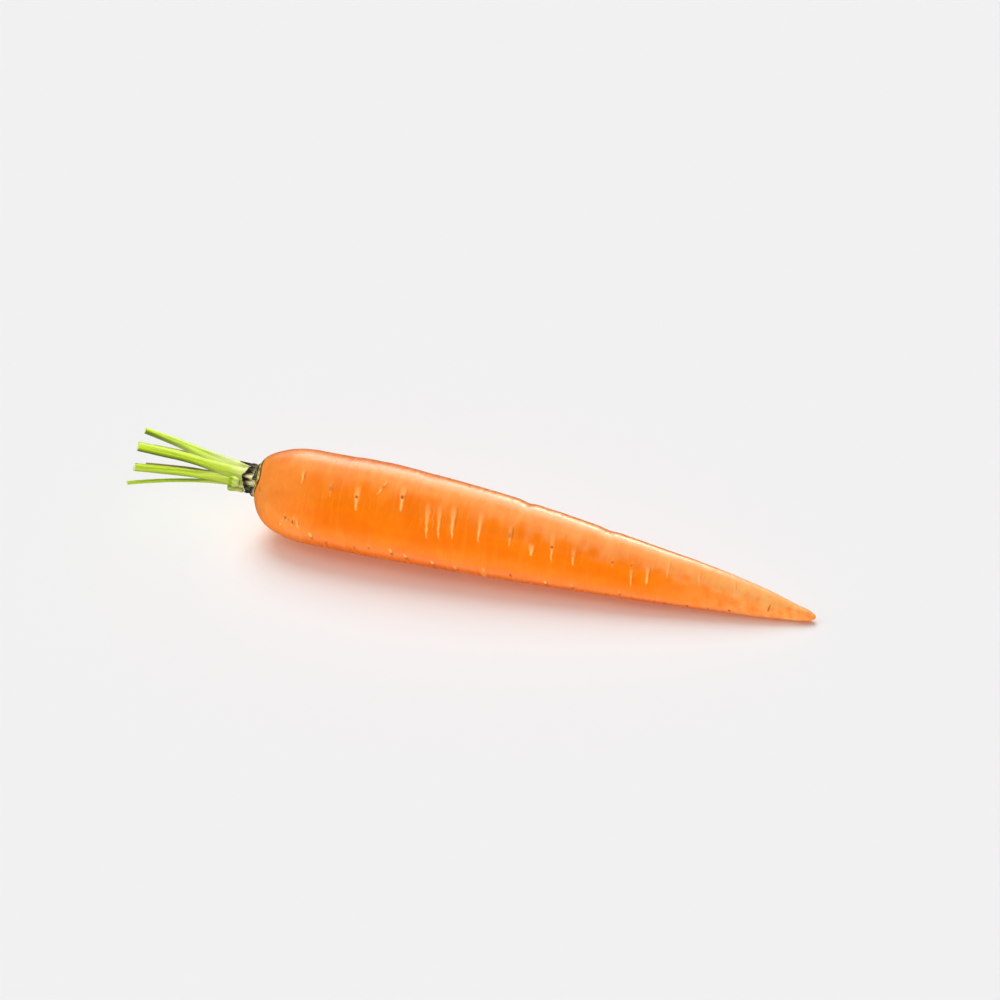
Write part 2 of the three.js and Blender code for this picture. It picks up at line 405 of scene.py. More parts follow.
@dataclass(frozen=True)
class SkinFinish:
    """The satin orange skin of the root, with its pale slits, pits and brown tip."""

    deep: Colour = colour(248, 116, 0)
    bright: Colour = colour(252, 123, 0)
    dark: Colour = colour(240, 100, 0)
    peach_and_sheen: Colour = colour(254, 152, 66)
    tan: Colour = colour(246, 172, 98)
    pale: Colour = colour(254, 158, 56)
    bloom_and_sheen: Colour = colour(248, 174, 110)
    cream: Colour = colour(254, 202, 116)
    scar_and_sheen: Colour = colour(253, 168, 92)
    spot: Colour = colour(255, 188, 92)
    shade_brink: Colour = colour(206, 84, 4)
    pit: Colour = colour(168, 62, 0)
    flesh: Colour = colour(250, 224, 140)
    stain: Colour = colour(150, 88, 24)
    crack_and_shade: Colour = colour(38, 20, 8)
    gleam: Colour = (1.0, 0.8, 0.25, 1.0)
    roughness: float = 0.27
    relief: float = 0.35
    cloud_cells: Point = (55, 130, 130)
    stroke_cells: Point = (400, 80, 80)
    mottle_cells: Point = (420, 300, 300)
    grain_cells: Point = (1900, 900, 900)
    jag_cells: Point = (1100, 600, 600)
    blot_cells: Point = (700, 700, 700)
    shoulder_reach: Pair = (0.002, 0.034)
    tail_reach: Pair = (0.060, 0.004)
    streak_heights: Pair = (0.006, 0.024)
    tan_sheen_heights: Pair = (0.002, 0.012)
    streak_share: float = 0.18
    grain_share: float = 0.16

    def make(self, crown_end: float, tip: float) -> bpy.types.Material:
        """Make the material.

        Args:
            crown_end: X of the root's crown end in metres.
            tip: X of the root's tip in metres.

        Returns:
            The material.
        """
        paint = Paint("carrot_skin")
        clouds = paint.noise_on_piece(self.cloud_cells)
        strokes = paint.noise_on_piece(self.stroke_cells, detail=0.8)
        mottle = paint.noise_on_piece(self.mottle_cells)
        grain = paint.noise_on_piece(self.grain_cells, detail=3.0)
        x, _, z = paint.parts(paint.coordinates)
        shoulder = 1 - x.rise(*(crown_end + reach for reach in self.shoulder_reach))
        tail = x.rise(*(tip - reach for reach in self.tail_reach))
        streaked = 0.2 + 0.8 * z.rise(*self.streak_heights)
        skin = paint.blend(clouds.rise(0.4, 0.6), self.deep, self.bright)
        # Paler peach towards the crown end: partly the shoulder's own tone, partly painted sheen.
        skin = paint.blend(shoulder * (0.4 + 1.1 * clouds).clamped(), skin, self.peach_and_sheen)
        skin = paint.blend(strokes.rise(0.5, 0.72) * streaked * self.streak_share, skin, self.pale)
        hollows = 1 - strokes.rise(0.28, 0.46)
        skin = paint.blend(hollows * streaked * self.streak_share, skin, self.dark)
        # Paler along the upper side towards the tip: partly a pale bloom on the skin, partly painted
        # sheen.
        bloom_and_sheen = paint.carried(Mask.BLOOM) * (0.5 + 0.6 * strokes).clamped()
        skin = paint.blend(bloom_and_sheen, skin, self.bloom_and_sheen)
        # Tan towards the tip is its own colour; the extra tan higher up the tip's side is painted
        # sheen.
        tan_and_sheen = 0.1 + 0.25 * tail + 0.5 * z.rise(*self.tan_sheen_heights) + 1.8 * (mottle - 0.42)
        skin = paint.blend((tail * tan_and_sheen).clamped(), skin, self.tan)
        skin = paint.blend(grain.rise(0.5, 0.8) * self.grain_share, skin, self.pale)
        skin = paint.blend((1 - mottle.rise(0.3, 0.5)) * self.grain_share, skin, self.dark)
        halo, core, seed, shade_brink, dot = self.marks(paint, grain, strokes)
        # Painted shadow down one side of each slit, and the dark lid round a pale spot.
        skin = paint.blend(shade_brink, skin, self.shade_brink)
        # Pale halo of each slit: partly its pale scar, partly painted highlight.
        skin = paint.blend(halo * 0.85, skin, self.scar_and_sheen)
        skin = paint.blend(seed, skin, self.spot)
        skin = paint.blend(core, skin, self.cream)
        skin = paint.blend(dot, skin, self.pit)
        skin, edge = self.rim(paint, skin, grain)
        relief = strokes * 0.12 + mottle * (0.08 + tail * 0.4) + grain * 0.05
        paint.bump(relief - core * 0.3 - dot * 0.3 - edge * 0.6, self.relief)
        dull = self.roughness - 0.05 + 0.1 * strokes + 0.15 * halo + 0.2 * dot
        dull = dull + 0.3 * edge + 0.18 * tail
        return paint.dress(base_color=skin, roughness=dull.clamped(), specular_tint=self.gleam)

    def marks(self, paint: Paint, grain: Value, strokes: Value) -> tuple[Value, ...]:
        """Draw the slits and pits from each point's place in its mark.

        Args:
            paint: The material.
            grain: The skin's fine noise.
            strokes: The skin's coarse noise.

        Returns:
            The pale streak of each slit, partly painted highlight, its corky line, its pale spot, the
            painted shadow on its one side with the dark lid round the spot, and the pit.
        """
        across, up, near = paint.parts(paint.carried_place(Mask.PLACE))
        paleness, pit, length = paint.parts(paint.carried_place(Mask.KIND))
        width, tall, dark = paint.parts(paint.carried_place(Mask.SIZE))
        jag = (paint.noise_on_piece(self.jag_cells) - 0.5) * 0.9
        aside = (across + jag) / width
        rise = up * 2 / (length + 0.01)
        # The pale halo widens towards the slit's upper end: partly a pale scar, partly painted
        # highlight on its lip.
        body = 0.35 + 0.65 * rise.rise(-1.0, 0.4)
        spread = abs(aside) / body
        ends = rise.rise(-1.0, -0.75) * (1 - rise.rise(0.4, 1.0))
        halo = (1 - spread.rise(0.3, 1.25)) * ends * near * paleness
        line = (1 - spread.rise(0.0, 0.75)) * rise.rise(-1.0, -0.8) * (1 - rise.rise(-0.5, 0.5))
        # A darker line down one side of the slit: painted shadow of its relief.
        shade_brink = aside.rise(0.35, 0.7) * (1 - aside.rise(1.0, 1.5))
        shade_brink = shade_brink * rise.rise(-0.5, 0.0) * (1 - rise.rise(0.5, 0.9))
        wander = (grain - 0.5) * 1.2
        drop = (up + 0.1) / tall
        slim = across / (width / 0.7).clamped()
        spot = slim * slim * 3.2 + drop * drop + wander
        dot = (1 - spot.rise(0.3, 1.1)) * near * pit
        above = drop - 1.9
        eye = across * across * 3.6 + above * above * 0.6 + wander
        lidded = near * paint.carried(Mask.EYE)
        seed = (1 - eye.rise(0.4, 1.3)) * lidded
        lid = eye.rise(0.9, 1.6) * (1 - eye.rise(2.4, 4.0)) * (1 - above.rise(-0.4, 1.0)) * lidded
        core = line * near * paleness * (0.5 + 0.9 * grain)
        edging = shade_brink * near * dark + lid * 0.8
        streak = (halo * (0.7 + 0.6 * strokes)).clamped()
        return streak, core.clamped(), seed, edging.clamped(), dot.clamped()

    def rim(
        self, paint: Paint, skin: bpy.types.NodeSocket, grain: Value
    ) -> tuple[bpy.types.NodeSocket, Value]:
        """Lay bare flesh and the cracked edge of the skin round the crown, with painted shade in the
        seat and along the edge.

        Args:
            paint: The material.
            skin: The skin's colour.
            grain: The skin's fine noise.

        Returns:
            The colour with them, and where the dark line at the skin's edge is.
        """
        blots = paint.noise_on_piece(self.blot_cells, detail=3.0)
        past = paint.carried(Mask.RIM) + (blots - 0.5) * 0.5
        bare = past.rise(0.0, 0.12)
        crack_and_shade = past.rise(-0.3, -0.05) * (1 - past.rise(0.15, 0.5))
        skin = paint.blend(bare, skin, self.flesh)
        skin = paint.blend(bare * (blots + grain * 0.4).rise(0.6, 0.8), skin, self.stain)
        # Near black in the seat and just past the skin's edge round it: painted shade in the hollow
        # round the crown.
        skin = paint.blend(past.rise(1.2, 1.8), skin, self.crack_and_shade)
        # A dark line along the skin's torn edge: partly a crack, partly painted shade under the crown.
        return paint.blend(crack_and_shade * (blots * 2.2).clamped(), skin, self.crack_and_shade), crack_and_shade


@dataclass(frozen=True)
class StalkFinish:
    """Fresh leaf stalks: cream at the base and lime along the ribs, with painted shade in the channel
    and along the lower margin, and a painted highlight along the upper rib.
    """

    cream: Colour = colour(236, 236, 160)
    lime: Colour = colour(194, 222, 26)
    green: Colour = colour(130, 168, 0)
    ridge_highlight: Colour = colour(222, 240, 84)
    cut: Colour = colour(222, 234, 160)
    dark: Colour = colour(84, 98, 2)
    roughness: float = 0.42
    relief: float = 0.12
    pith_cells: float = 1500
    subsurface: float = 0.12
    subsurface_reach: Point = (0.6, 1.0, 0.25)
    subsurface_depth: float = 0.0015

    def make(self, name: str, paleness: float = 0.0) -> bpy.types.Material:
        """Make the material.

        Args:
            name: The material's name.
            paleness: How much more cream there is all along, up to 1, or less when it is below 0.

        Returns:
            The material.
        """
        paint = Paint(name)
        place = paint.carried_place(Mask.GRAIN)
        stripes = paint.noise(place, 2.0, 3.0)
        threads = paint.noise(place, 9.0, 2.0)
        along, cut, edge, painted_shade = (
            paint.carried(m) for m in (Mask.ALONG, Mask.CUT, Mask.EDGE, Mask.PAINTED_SHADE)
        )
        flesh = paint.blend(stripes.rise(0.36, 0.60), self.green, self.lime)
        # A paler band along one rib on the outside, the upper one on the stalks that face the front:
        # painted highlight.
        flesh = paint.blend(paint.carried(Mask.RIDGE_HIGHLIGHT) * 0.7, flesh, self.ridge_highlight)
        flesh = paint.blend((1 - threads.rise(0.30, 0.46)) * 0.4, flesh, self.dark)
        # Dark olive in the channel and along one margin: painted shade.
        flesh = paint.blend(painted_shade * 0.85, flesh, self.dark)
        base = (1 - along.rise(0.0, 0.16)) * 0.6 + (1 - along.rise(0.05, 0.6)) * 0.16
        flesh = paint.blend((base * (0.1 + 1.3 * stripes) + paleness).clamped(), flesh, self.cream)
        flesh = paint.blend(edge * 0.8, flesh, self.cream)
        pith = paint.noise_on_piece((1, 1, 1), self.pith_cells, 1.0)
        flesh = paint.blend(cut, flesh, paint.blend(pith.rise(0.56, 0.66), self.cut, self.lime))
        paint.bump(stripes * 0.7 + threads * 0.3, self.relief)
        return paint.dress(
            base_color=flesh,
            roughness=self.roughness - 0.05 + 0.15 * threads + 0.2 * cut,
            specular_ior_level=0.35,
            subsurface_weight=self.subsurface,
            subsurface_radius=self.subsurface_reach,
            subsurface_scale=self.subsurface_depth,
        )


@dataclass(frozen=True)
class CrownFinish:
    """The short stem: cream and yellow-green flesh that browns towards its foot."""

    cream: Colour = colour(254, 252, 196)
    green: Colour = colour(224, 228, 120)
    brown: Colour = colour(104, 70, 30)
    relief: float = 0.2
    patch_cells: Point = (260, 420, 420)
    thread_cells: Point = (200, 1600, 1600)
    subsurface: float = 0.15
    subsurface_reach: Point = (0.8, 0.8, 0.3)
    subsurface_depth: float = 0.0015

    def make(self) -> bpy.types.Material:
        """Make the material.

        Returns:
            The material.
        """
        paint = Paint("crown_flesh")
        patches = paint.noise_on_piece(self.patch_cells, detail=3.0)
        threads = paint.noise_on_piece(self.thread_cells, detail=3.0)
        along = paint.carried(Mask.ALONG)
        flesh = paint.blend(patches.rise(0.4, 0.62), self.green, self.cream)
        browning = (1 - along) * (0.4 + 1.2 * patches + threads.rise(0.58, 0.75) * 0.6)
        flesh = paint.blend(browning.clamped(), flesh, self.brown)
        paint.bump(threads * 0.7 + patches * 0.5, self.relief)
        return paint.dress(
            base_color=flesh,
            roughness=0.5 + 0.25 * threads,
            subsurface_weight=self.subsurface,
            subsurface_radius=self.subsurface_reach,
            subsurface_scale=self.subsurface_depth,
        )


@dataclass(frozen=True)
class ScaleFinish:
    """Dry leaf scales: brown-black fibre, blackest along its torn edge, with paler streaks."""

    black: Colour = colour(22, 13, 4)
    brown: Colour = colour(112, 76, 34)
    straw: Colour = colour(255, 250, 186)
    roughness: float = 0.7
    relief: float = 0.25

    def make(self) -> bpy.types.Material:
        """Make the material.

        Returns:
            The material.
        """
        paint = Paint("dry_fibre")
        place = paint.carried_place(Mask.GRAIN)
        threads = paint.noise(place, 6.0, 4.0)
        edge, along = paint.carried(Mask.EDGE), paint.carried(Mask.ALONG)
        fibre = paint.blend(threads.rise(0.38, 0.56), self.black, self.brown)
        fresh = ((1 - along) * 1.8 - 0.1 + (threads - 0.5) * 3).clamped()
        fibre = paint.blend(fresh, fibre, self.straw)
        fibre = paint.blend(edge * 0.85, fibre, self.black)
        paint.bump(threads, self.relief)
        dull = self.roughness + 0.2 * threads
        return paint.dress(base_color=fibre, roughness=dull, specular_ior_level=0.25)


class Bench:
    """Blender's modelling operators, used on one piece at a time."""

    @staticmethod
    def clear() -> None:
        """Leave edit mode and deselect every object."""
        if bpy.context.object and bpy.context.object.mode != "OBJECT":
            bpy.ops.object.mode_set(mode="OBJECT")
        bpy.ops.object.select_all(action="DESELECT")

    @staticmethod
    def pick(piece: bpy.types.Object) -> None:
        """Select one piece only, and make it the active one.

        Args:
            piece: The piece.
        """
        Bench.clear()
        piece.select_set(True)
        bpy.context.view_layer.objects.active = piece

    @staticmethod
    def face_out() -> None:
        """Turn every face of the piece in edit mode outwards, and leave edit mode."""
        bpy.ops.mesh.select_all(action="SELECT")
        bpy.ops.mesh.normals_make_consistent(inside=False)
        bpy.ops.object.mode_set(mode="OBJECT")

    @staticmethod
    def turned(name: str, sides: int, outline: Sequence[Pair]) -> bpy.types.Object:
        """Make a closed round blank that stands on +Z: a filled circle, extruded ring by ring.

        Args:
            name: The piece's name.
            sides: Number of points round each ring.
            outline: Radius and height of each ring, in millimetres.

        Returns:
            The blank.
        """
        Bench.clear()
        radius, height = outline[0]
        bpy.ops.mesh.primitive_circle_add(
            vertices=sides, radius=radius * MM, fill_type="NGON", location=(0, 0, height * MM)
        )
        piece = bpy.context.object
        piece.name = piece.data.name = name
        bpy.ops.object.transform_apply(location=True, rotation=True, scale=True)
        bpy.ops.object.mode_set(mode="EDIT")
        for next_radius, next_height in outline[1:]:
            rise = (next_height - height) * MM
            bpy.ops.mesh.extrude_region_move(TRANSFORM_OT_translate={"value": (0, 0, rise)})
            grow = next_radius / radius
            bpy.ops.transform.resize(value=(grow, grow, 1), center_override=(0, 0, next_height * MM))
            radius, height = next_radius, next_height
        Bench.face_out()
        return piece

    @staticmethod
    def leaf(name: str, columns: int, rows: int) -> bpy.types.Object:
        """Make a flat blank, one unit wide about x = 0 and one unit high from y = 0.

        Args:
            name: The piece's name.
            columns: Number of faces across.
            rows: Number of faces up.

        Returns:
            The blank.
        """
        Bench.clear()
        bpy.ops.mesh.primitive_grid_add(
            x_subdivisions=columns, y_subdivisions=rows, size=1, location=(0, 0.5, 0)
        )
        piece = bpy.context.object
        piece.name = piece.data.name = name
        bpy.ops.object.transform_apply(location=True, rotation=True, scale=True)
        return piece

    @staticmethod
    def modify(piece: bpy.types.Object, kind: str, **settings: float) -> None:
        """Add a modifier to a piece and apply it.

        Args:
            piece: The piece.
            kind: The modifier's type.
            settings: Its settings.
        """
        Bench.pick(piece)
        modifier = piece.modifiers.new(kind.title(), kind)
        for key, setting in settings.items():
            setattr(modifier, key, setting)
        bpy.ops.object.modifier_apply(modifier=modifier.name)

    @staticmethod
    def subdivide(piece: bpy.types.Object, levels: int) -> None:
        """Round a piece with a Subdivision Surface."""
        Bench.modify(piece, "SUBSURF", levels=levels, render_levels=levels)

    @staticmethod
    def thicken(piece: bpy.types.Object, thickness: float) -> None:
        """Give a sheet its thickness in millimetres, outwards and inwards alike."""
        Bench.modify(piece, "SOLIDIFY", thickness=thickness * MM, offset=0)

    @staticmethod
    def points(piece: bpy.types.Object) -> np.ndarray:
        """Read a piece's points.

        Args:
            piece: The piece.

        Returns:
            A row of three for each point, in millimetres.
        """
        places = np.empty(len(piece.data.vertices) * 3)
        piece.data.vertices.foreach_get("co", places)
        return places.reshape(-1, 3) / MM

    @staticmethod
    def round_points(piece: bpy.types.Object) -> RoundPoints:
        """Read the points of a round blank that stands on +Z, in millimetres."""
        x, y, z = Bench.points(piece).T
        return RoundPoints(along=z, turn=np.arctan2(y, x), radius=np.hypot(x, y))

    @staticmethod
    def carry(piece: bpy.types.Object, places: np.ndarray) -> None:
        """Move a piece's points to new places, in millimetres."""
        piece.data.vertices.foreach_set("co", (places * MM).ravel())
        piece.data.update()

    @staticmethod
    def mark(piece: bpy.types.Object, mask: Mask, values: np.ndarray) -> None:
        """Give a piece's points a number each, or a place each.

        Args:
            piece: The piece.
            mask: What the values are.
            values: One number, or three, for each point.
        """
        kind, key = ("FLOAT", "value") if values.ndim == 1 else ("FLOAT_VECTOR", "vector")
        layer = piece.data.attributes.new(mask.value, kind, "POINT")
        layer.data.foreach_set(key, np.ascontiguousarray(values, dtype=np.float32).ravel())

    @staticmethod
    def mark_all(piece: bpy.types.Object, masks: dict[Mask, np.ndarray]) -> None:
        """Give a piece's points all the values that its finish reads."""
        for mask, values in masks.items():
            Bench.mark(piece, mask, values)

    @staticmethod
    def smooth(piece: bpy.types.Object, crease: float | None = None) -> None:
        """Shade a piece smooth.

        Args:
            piece: The piece.
            crease: The angle in degrees past which an edge stays sharp, or none.
        """
        Bench.pick(piece)
        if crease is None:
            bpy.ops.object.shade_smooth()
        else:
            bpy.ops.object.shade_smooth_by_angle(angle=math.radians(crease))


def hand_over(
    piece: bpy.types.Object, node: str, finish: bpy.types.Material
) -> bpy.types.Object:
    """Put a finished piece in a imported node's place.

    Args:
        piece: The piece.
        node: The node that it replaces.
        finish: Its material.

    Returns:
        The piece.
    """
    piece.data.materials.clear()
    piece.data.materials.append(finish)
    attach(piece, BODY)
    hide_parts(node)
    LOG.info("%s: %d faces", piece.name, len(piece.data.polygons))
    return piece


@dataclass(frozen=True)
class RootShape:
    """The root's outline and its bowed centre line."""

    length: float = 200.0
    shoulder_start: float = 2.0
    girth: tuple[float, ...] = (16.1, 16.15, 16.45, 16.0, 15.05, 13.5, 11.85, 9.9, 7.8, 5.15, 1.9)
    shoulder_end: float = 22.0
    shoulder_fullness: float = 3.5
    tip_rounding: float = 5.0
    bow: float = 3.4
    bow_centre: float = 120.0
    shoulder_lift: float = 0.8
    shoulder_lift_length: float = 40.0
    tip_lift: float = 0.4
    tip_lift_length: float = 50.0
    press: float = 0.15
    seat_bottom: float = 3.9
    rim: float = 2.6
    seat_radius: float = 6.8
    crown_base: float = 1.1
    crown_offset: Point = (0.0, 0.9, 2.1)
    offset_fade: float = 2.2
    seat: tuple[Pair, ...] = (
        (0.3, 1.0),
        (0.6, 1.0),
        (0.92, 1.0),
        (1.0, 1.0),
        (1.0, 0.6),
        (1.0, 0.15),
    )
    shoulder_rings: int = 15
    shoulder_crowding: float = 1.9
    body_rings: int = 86
    tip_rings: int = 8
    samples: int = 400

    def girth_at(self, along: np.ndarray) -> np.ndarray:
        """Give the body's radius before its ends are rounded, by a smooth curve through the girths.

        Args:
            along: Distances along the root.

        Returns:
            The radius at each.
        """
        last = len(self.girth) - 1
        place = np.clip(along / self.length, 0, 1) * last
        index = np.minimum(place.astype(int), last - 1)
        t = place - index
        a, b, c, d = (np.array(self.girth)[np.clip(index + k, 0, last)] for k in (-1, 0, 1, 2))
        return b + 0.5 * t * (c - a + t * (2 * a - 5 * b + 4 * c - d + t * (3 * (b - c) + d - a)))

    def radius_at(self, along: np.ndarray) -> np.ndarray:
        """Give the root's radius.

        Args:
            along: Distances along the root.

        Returns:
            The radius at each.
        """
        shoulder = (along - self.shoulder_start) / (self.shoulder_end - self.shoulder_start)
        shoulder = np.clip(shoulder, 0, 1)
        tip = np.clip((self.length - along) / self.tip_rounding, 0, 1)
        swell = (1 - (1 - shoulder) ** 2) ** (1 / self.shoulder_fullness)
        return self.girth_at(along) * swell * np.sqrt(1 - (1 - tip) ** 2)

    def centre_at(self, along: np.ndarray) -> np.ndarray:
        """Give the centre line's points.

        Args:
            along: Distances along the root from its crown end.

        Returns:
            The point at each.
        """
        shoulder = np.maximum(0, 1 - along / self.shoulder_lift_length)
        tip = np.maximum(0, 1 - (self.length - along) / self.tip_lift_length)
        lift = self.shoulder_lift * shoulder**2 + self.tip_lift * tip**2
        bow = self.bow * ((along - self.bow_centre) / self.bow_centre) ** 2
        return np.stack([along, bow, self.girth_at(along) + lift - self.press], axis=-1)

    def frame_at(self, along: np.ndarray) -> tuple[np.ndarray, np.ndarray]:
        """Give the directions across the root.

        Args:
            along: Distances along the root.

        Returns:
            The directions to its front, and those up.
        """
        tangent = unit(self.centre_at(along + 0.5) - self.centre_at(along - 0.5))
        front = unit(np.cross(tangent, (0, 0, 1)))
        return front, np.cross(front, tangent)

    def outline(self) -> list[Pair]:
        """Give the rings of the root's blank, from the bottom of the seat to the tip.

        Returns:
            The radius and the distance along of each ring.
        """
        drop = self.seat_bottom - self.rim
        rings = [(self.seat_radius * out, self.rim + drop * deep) for out, deep in self.seat]
        steps = np.linspace(0, 1, self.shoulder_rings + 1)[:-1] ** self.shoulder_crowding
        shoulder = self.rim + (self.shoulder_end - self.rim) * steps
        body_end = self.length - self.tip_rounding
        body = np.linspace(self.shoulder_end, body_end, self.body_rings + 1)[:-1]
        tip = self.length - self.tip_rounding * (1 - np.linspace(0, 1, self.tip_rings + 1)[:-1]) ** 2
        along = np.concatenate([shoulder, body, tip])
        return rings + list(zip(self.radius_at(along).tolist(), along.tolist()))

    def shift(self) -> np.ndarray:
        """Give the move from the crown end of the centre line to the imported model's frame.

        Returns:
            The move along each axis.
        """
        low, high = (np.array(corner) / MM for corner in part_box("root"))
        along = np.linspace(self.crown_base, self.length, self.samples)
        centre, radius = self.centre_at(along), self.radius_at(along)
        front, _ = self.frame_at(along)
        reach = radius * np.abs(front[:, 1])
        middle = ((centre[:, 1] - reach).min() + (centre[:, 1] + reach).max()) / 2
        return np.array([high[0] - self.length, (low[1] + high[1]) / 2 - middle, 0.0])


@dataclass(frozen=True)
class Dent:
    """A shallow dent in the root: its place in millimetres and degrees, its depth and its width."""

    along: float
    turn: float
    depth: float
    width: float


@dataclass(frozen=True)
class Slit:
    """A pale corky slit that crosses the skin, often with a small brown pit in it.

    Its place is along and turn, in millimetres and degrees. Tall is half the height of its pit,
    another number says how dark the painted shadow on its one side is, and eye how pale the spot above
    its pit is.
    """

    along: float
    turn: float
    length: float
    width: float = 0.7
    paleness: float = 0.7
    pit: float = 0.0
    skew: float = -0.14
    tall: float = 0.55
    shade_brink: float = 0.0
    eye: float = 0.0


@dataclass
class Root:
    """The root: a bowed, tapering body with its wrinkles, slits and pits."""

    shape: RootShape
    sides: int = 48
    slits: tuple[Slit, ...] = (
        Slit(22, 58, 6, 0.8, 1.0, shade_brink=0.7),
        Slit(33, 48, 6, 0.8, 0.35, 0.45, tall=1.0, shade_brink=0.4),
        Slit(42.6, 45.4, 10, 1.2, 0.9, 0.85),
        Slit(50, 64, 7, 0.7, 0.8, 0.4, 0.3, tall=0.9, shade_brink=0.8),
        Slit(57.6, 56, 11, 1.2, 0.9, 0.9, tall=0.8, shade_brink=0.3),
        Slit(67.8, 35, 14, 0.9, 0.9),
        Slit(71.8, 38, 13, 0.9, 0.85, shade_brink=0.3),
        Slit(76.4, 42, 13, 1.0, 1.0, shade_brink=0.7),
        Slit(85.3, 43, 12, 0.8, 1.0),
        Slit(96, 41, 8, 0.9, 0.6, 0.45, tall=1.0, shade_brink=0.8),
        Slit(104, 28, 4.5, 1.1, 1.0, shade_brink=0.5),
        Slit(110.5, 40, 11, 0.8, 0.7, 0.8),
        Slit(118, 34, 7, 0.9, 0.6, 0.3, shade_brink=0.4),
        Slit(131, 40, 4, 0.6, 0.3, 0.6),
        Slit(137.7, 41.6, 4, 0.7, 0.3, 1.0, tall=0.7),
        Slit(138, 20, 7, 0.6, 0.8, shade_brink=0.5),
        Slit(143, 32, 7, 0.8, 1.0, shade_brink=0.7),
        Slit(149, 61, 9, 0.7, 0.5, shade_brink=0.3),
        Slit(160, 58, 6, 0.7, 0.4, shade_brink=0.3),
        Slit(172, 60, 7, 0.6, 0.4, shade_brink=0.3),
        Slit(184.5, 21.4, 5, 0.4, 0.0, 0.7, 0.05, tall=1.6),
        Slit(6.7, 27.8, 4, 0.5, 0.0, 0.5, tall=0.8),
        Slit(18, 1, 4, 0.7, 0.5, 0.8, tall=0.7),
        Slit(16.5, -8, 4, 0.6, 0.8, 0.3, 0.4, tall=0.9),
        Slit(20.6, -3, 5, 0.6, 0.4, 0.9, 0.3, tall=1.0, eye=0.3),
        Slit(22.3, -3, 5, 0.6, 1.0, shade_brink=0.6),
        Slit(27, -25, 5, 0.8, 0.0, 0.3, tall=1.0, eye=1.0),
        Slit(32, -29, 5, 0.7, 0.0, 0.5, 0.3, tall=1.6),
        Slit(42.5, -26, 5, 0.7, 0.0, 0.6, tall=1.0),
        Slit(48, -21, 5, 0.8, 0.0, 0.5, tall=0.9, eye=0.3),
        Slit(56, -24, 5, 0.8, 0.0, 0.7, tall=1.0, eye=0.9),
        Slit(61, -29, 5, 0.7, 0.0, 0.7, tall=1.0, eye=0.9),
        Slit(71, -36, 5, 0.8, 0.0, 0.9, tall=1.1, eye=1.0),
        Slit(79, -37, 5, 0.9, 0.0, 0.6, tall=1.0, eye=0.9),
        Slit(89, -28, 5, 0.8, 0.0, 0.4, tall=0.9, eye=0.6),
        Slit(98, -24, 5, 0.6, 0.0, 1.0, tall=1.2),
        Slit(110, -37, 5, 0.9, 0.0, 0.6, tall=1.0, eye=1.0),
        Slit(119, -33, 5, 0.9, 0.0, 0.9, tall=1.0, eye=0.5),
        Slit(135, -28, 4, 0.6, 0.0, 0.6, tall=1.0, eye=0.4),
        Slit(158, -36, 4, 0.7, 0.0, 1.0, tall=1.0),
        Slit(165, -34, 4, 0.6, 0.0, 0.6, tall=0.8),
        Slit(172, -26, 4, 0.6, 0.0, 1.0, tall=0.8),
    )
    listed_turns: Pair = (-42.0, 118.0)
    other_slits: int = 120
    ridge_height: float = 0.05
    pit_depth: float = 0.1
    pit_half: Pair = (0.5, 0.6)
    wrinkles: int = 130
    waves: tuple[tuple[float, float, int], ...] = ((0.15, 15.0, 6), (0.05, 4.6, 9), (0.025, 2.1, 14))
    dents: tuple[Dent, ...] = (
        Dent(97, 118, 0.45, 2.2),
        Dent(126, 118, 0.4, 2.4),
        Dent(62, 200, 0.4, 3),
    )
    dent_spread: float = 0.6
    bare_turn: float = 44.0
    bare_spread: float = 0.6
    bare_depth: float = 2.5
    bare_everywhere: float = 0.25
    bare_most: float = 3.0
    bloom_and_sheen_share: float = 0.55
    bloom_and_sheen_low: float = 58.0
    bloom_and_sheen_drop: float = 34.0
    bloom_and_sheen_edge: float = 26.0
    bloom_and_sheen_far: Pair = (120.0, 175.0)
    bloom_and_sheen_sway: float = 14.0
    skin_start: Pair = (1.0, 9.0)
    seat_shade: float = 2.0
    seat_slack: float = 0.01
    seed: int = 11

    def build(self) -> bpy.types.Object:
        """Make the root's mesh and the values that its points carry.

        Returns:
            The root.
        """
        shape = self.shape
        piece = Bench.turned("root_visual", self.sides, shape.outline())
        Bench.subdivide(piece, 2)
        blank = Bench.round_points(piece)
        # Rounding draws each ring in by this share.
        drawn_in = (4 + 2 * math.cos(2 * math.pi / self.sides)) / 6
        blank = replace(blank, radius=blank.radius / drawn_in)
        along, turn, radius = blank.along, blank.turn, blank.radius
        skin = smoothstep(*self.skin_start, along) * (along < shape.length)
        relief, masks = self.carve(blank)
        in_seat = radius <= shape.seat_radius + self.seat_slack
        in_seat &= along <= shape.seat_bottom + self.seat_slack
        radius = radius + relief * np.where(in_seat, 0, 0.25 + 0.75 * skin) * np.minimum(1, radius / 3)
        front, up = shape.frame_at(along)
        fade = np.where(in_seat, 1.0, np.exp(-(along - shape.rim) / shape.offset_fade))
        offset = fade[:, None] * np.array(shape.crown_offset)
        across = front * (radius * np.cos(turn))[:, None] + up * (radius * np.sin(turn))[:, None]
        places = shape.centre_at(along) + offset + across
        places[:, 2] = np.maximum(places[:, 2], 0)
        Bench.carry(piece, places + shape.shift())
        Bench.pick(piece)
        bpy.ops.object.mode_set(mode="EDIT")
        Bench.face_out()
        # The seat under the crown takes the near-black painted shade.
        masks[Mask.RIM] = np.where(in_seat, self.seat_shade, self.bared(blank))
        # Pale bloom with painted sheen along the upper side.
        masks[Mask.BLOOM] = self.bloom_and_sheen(blank)
        Bench.mark_all(piece, masks)
        Bench.smooth(piece)
        return piece

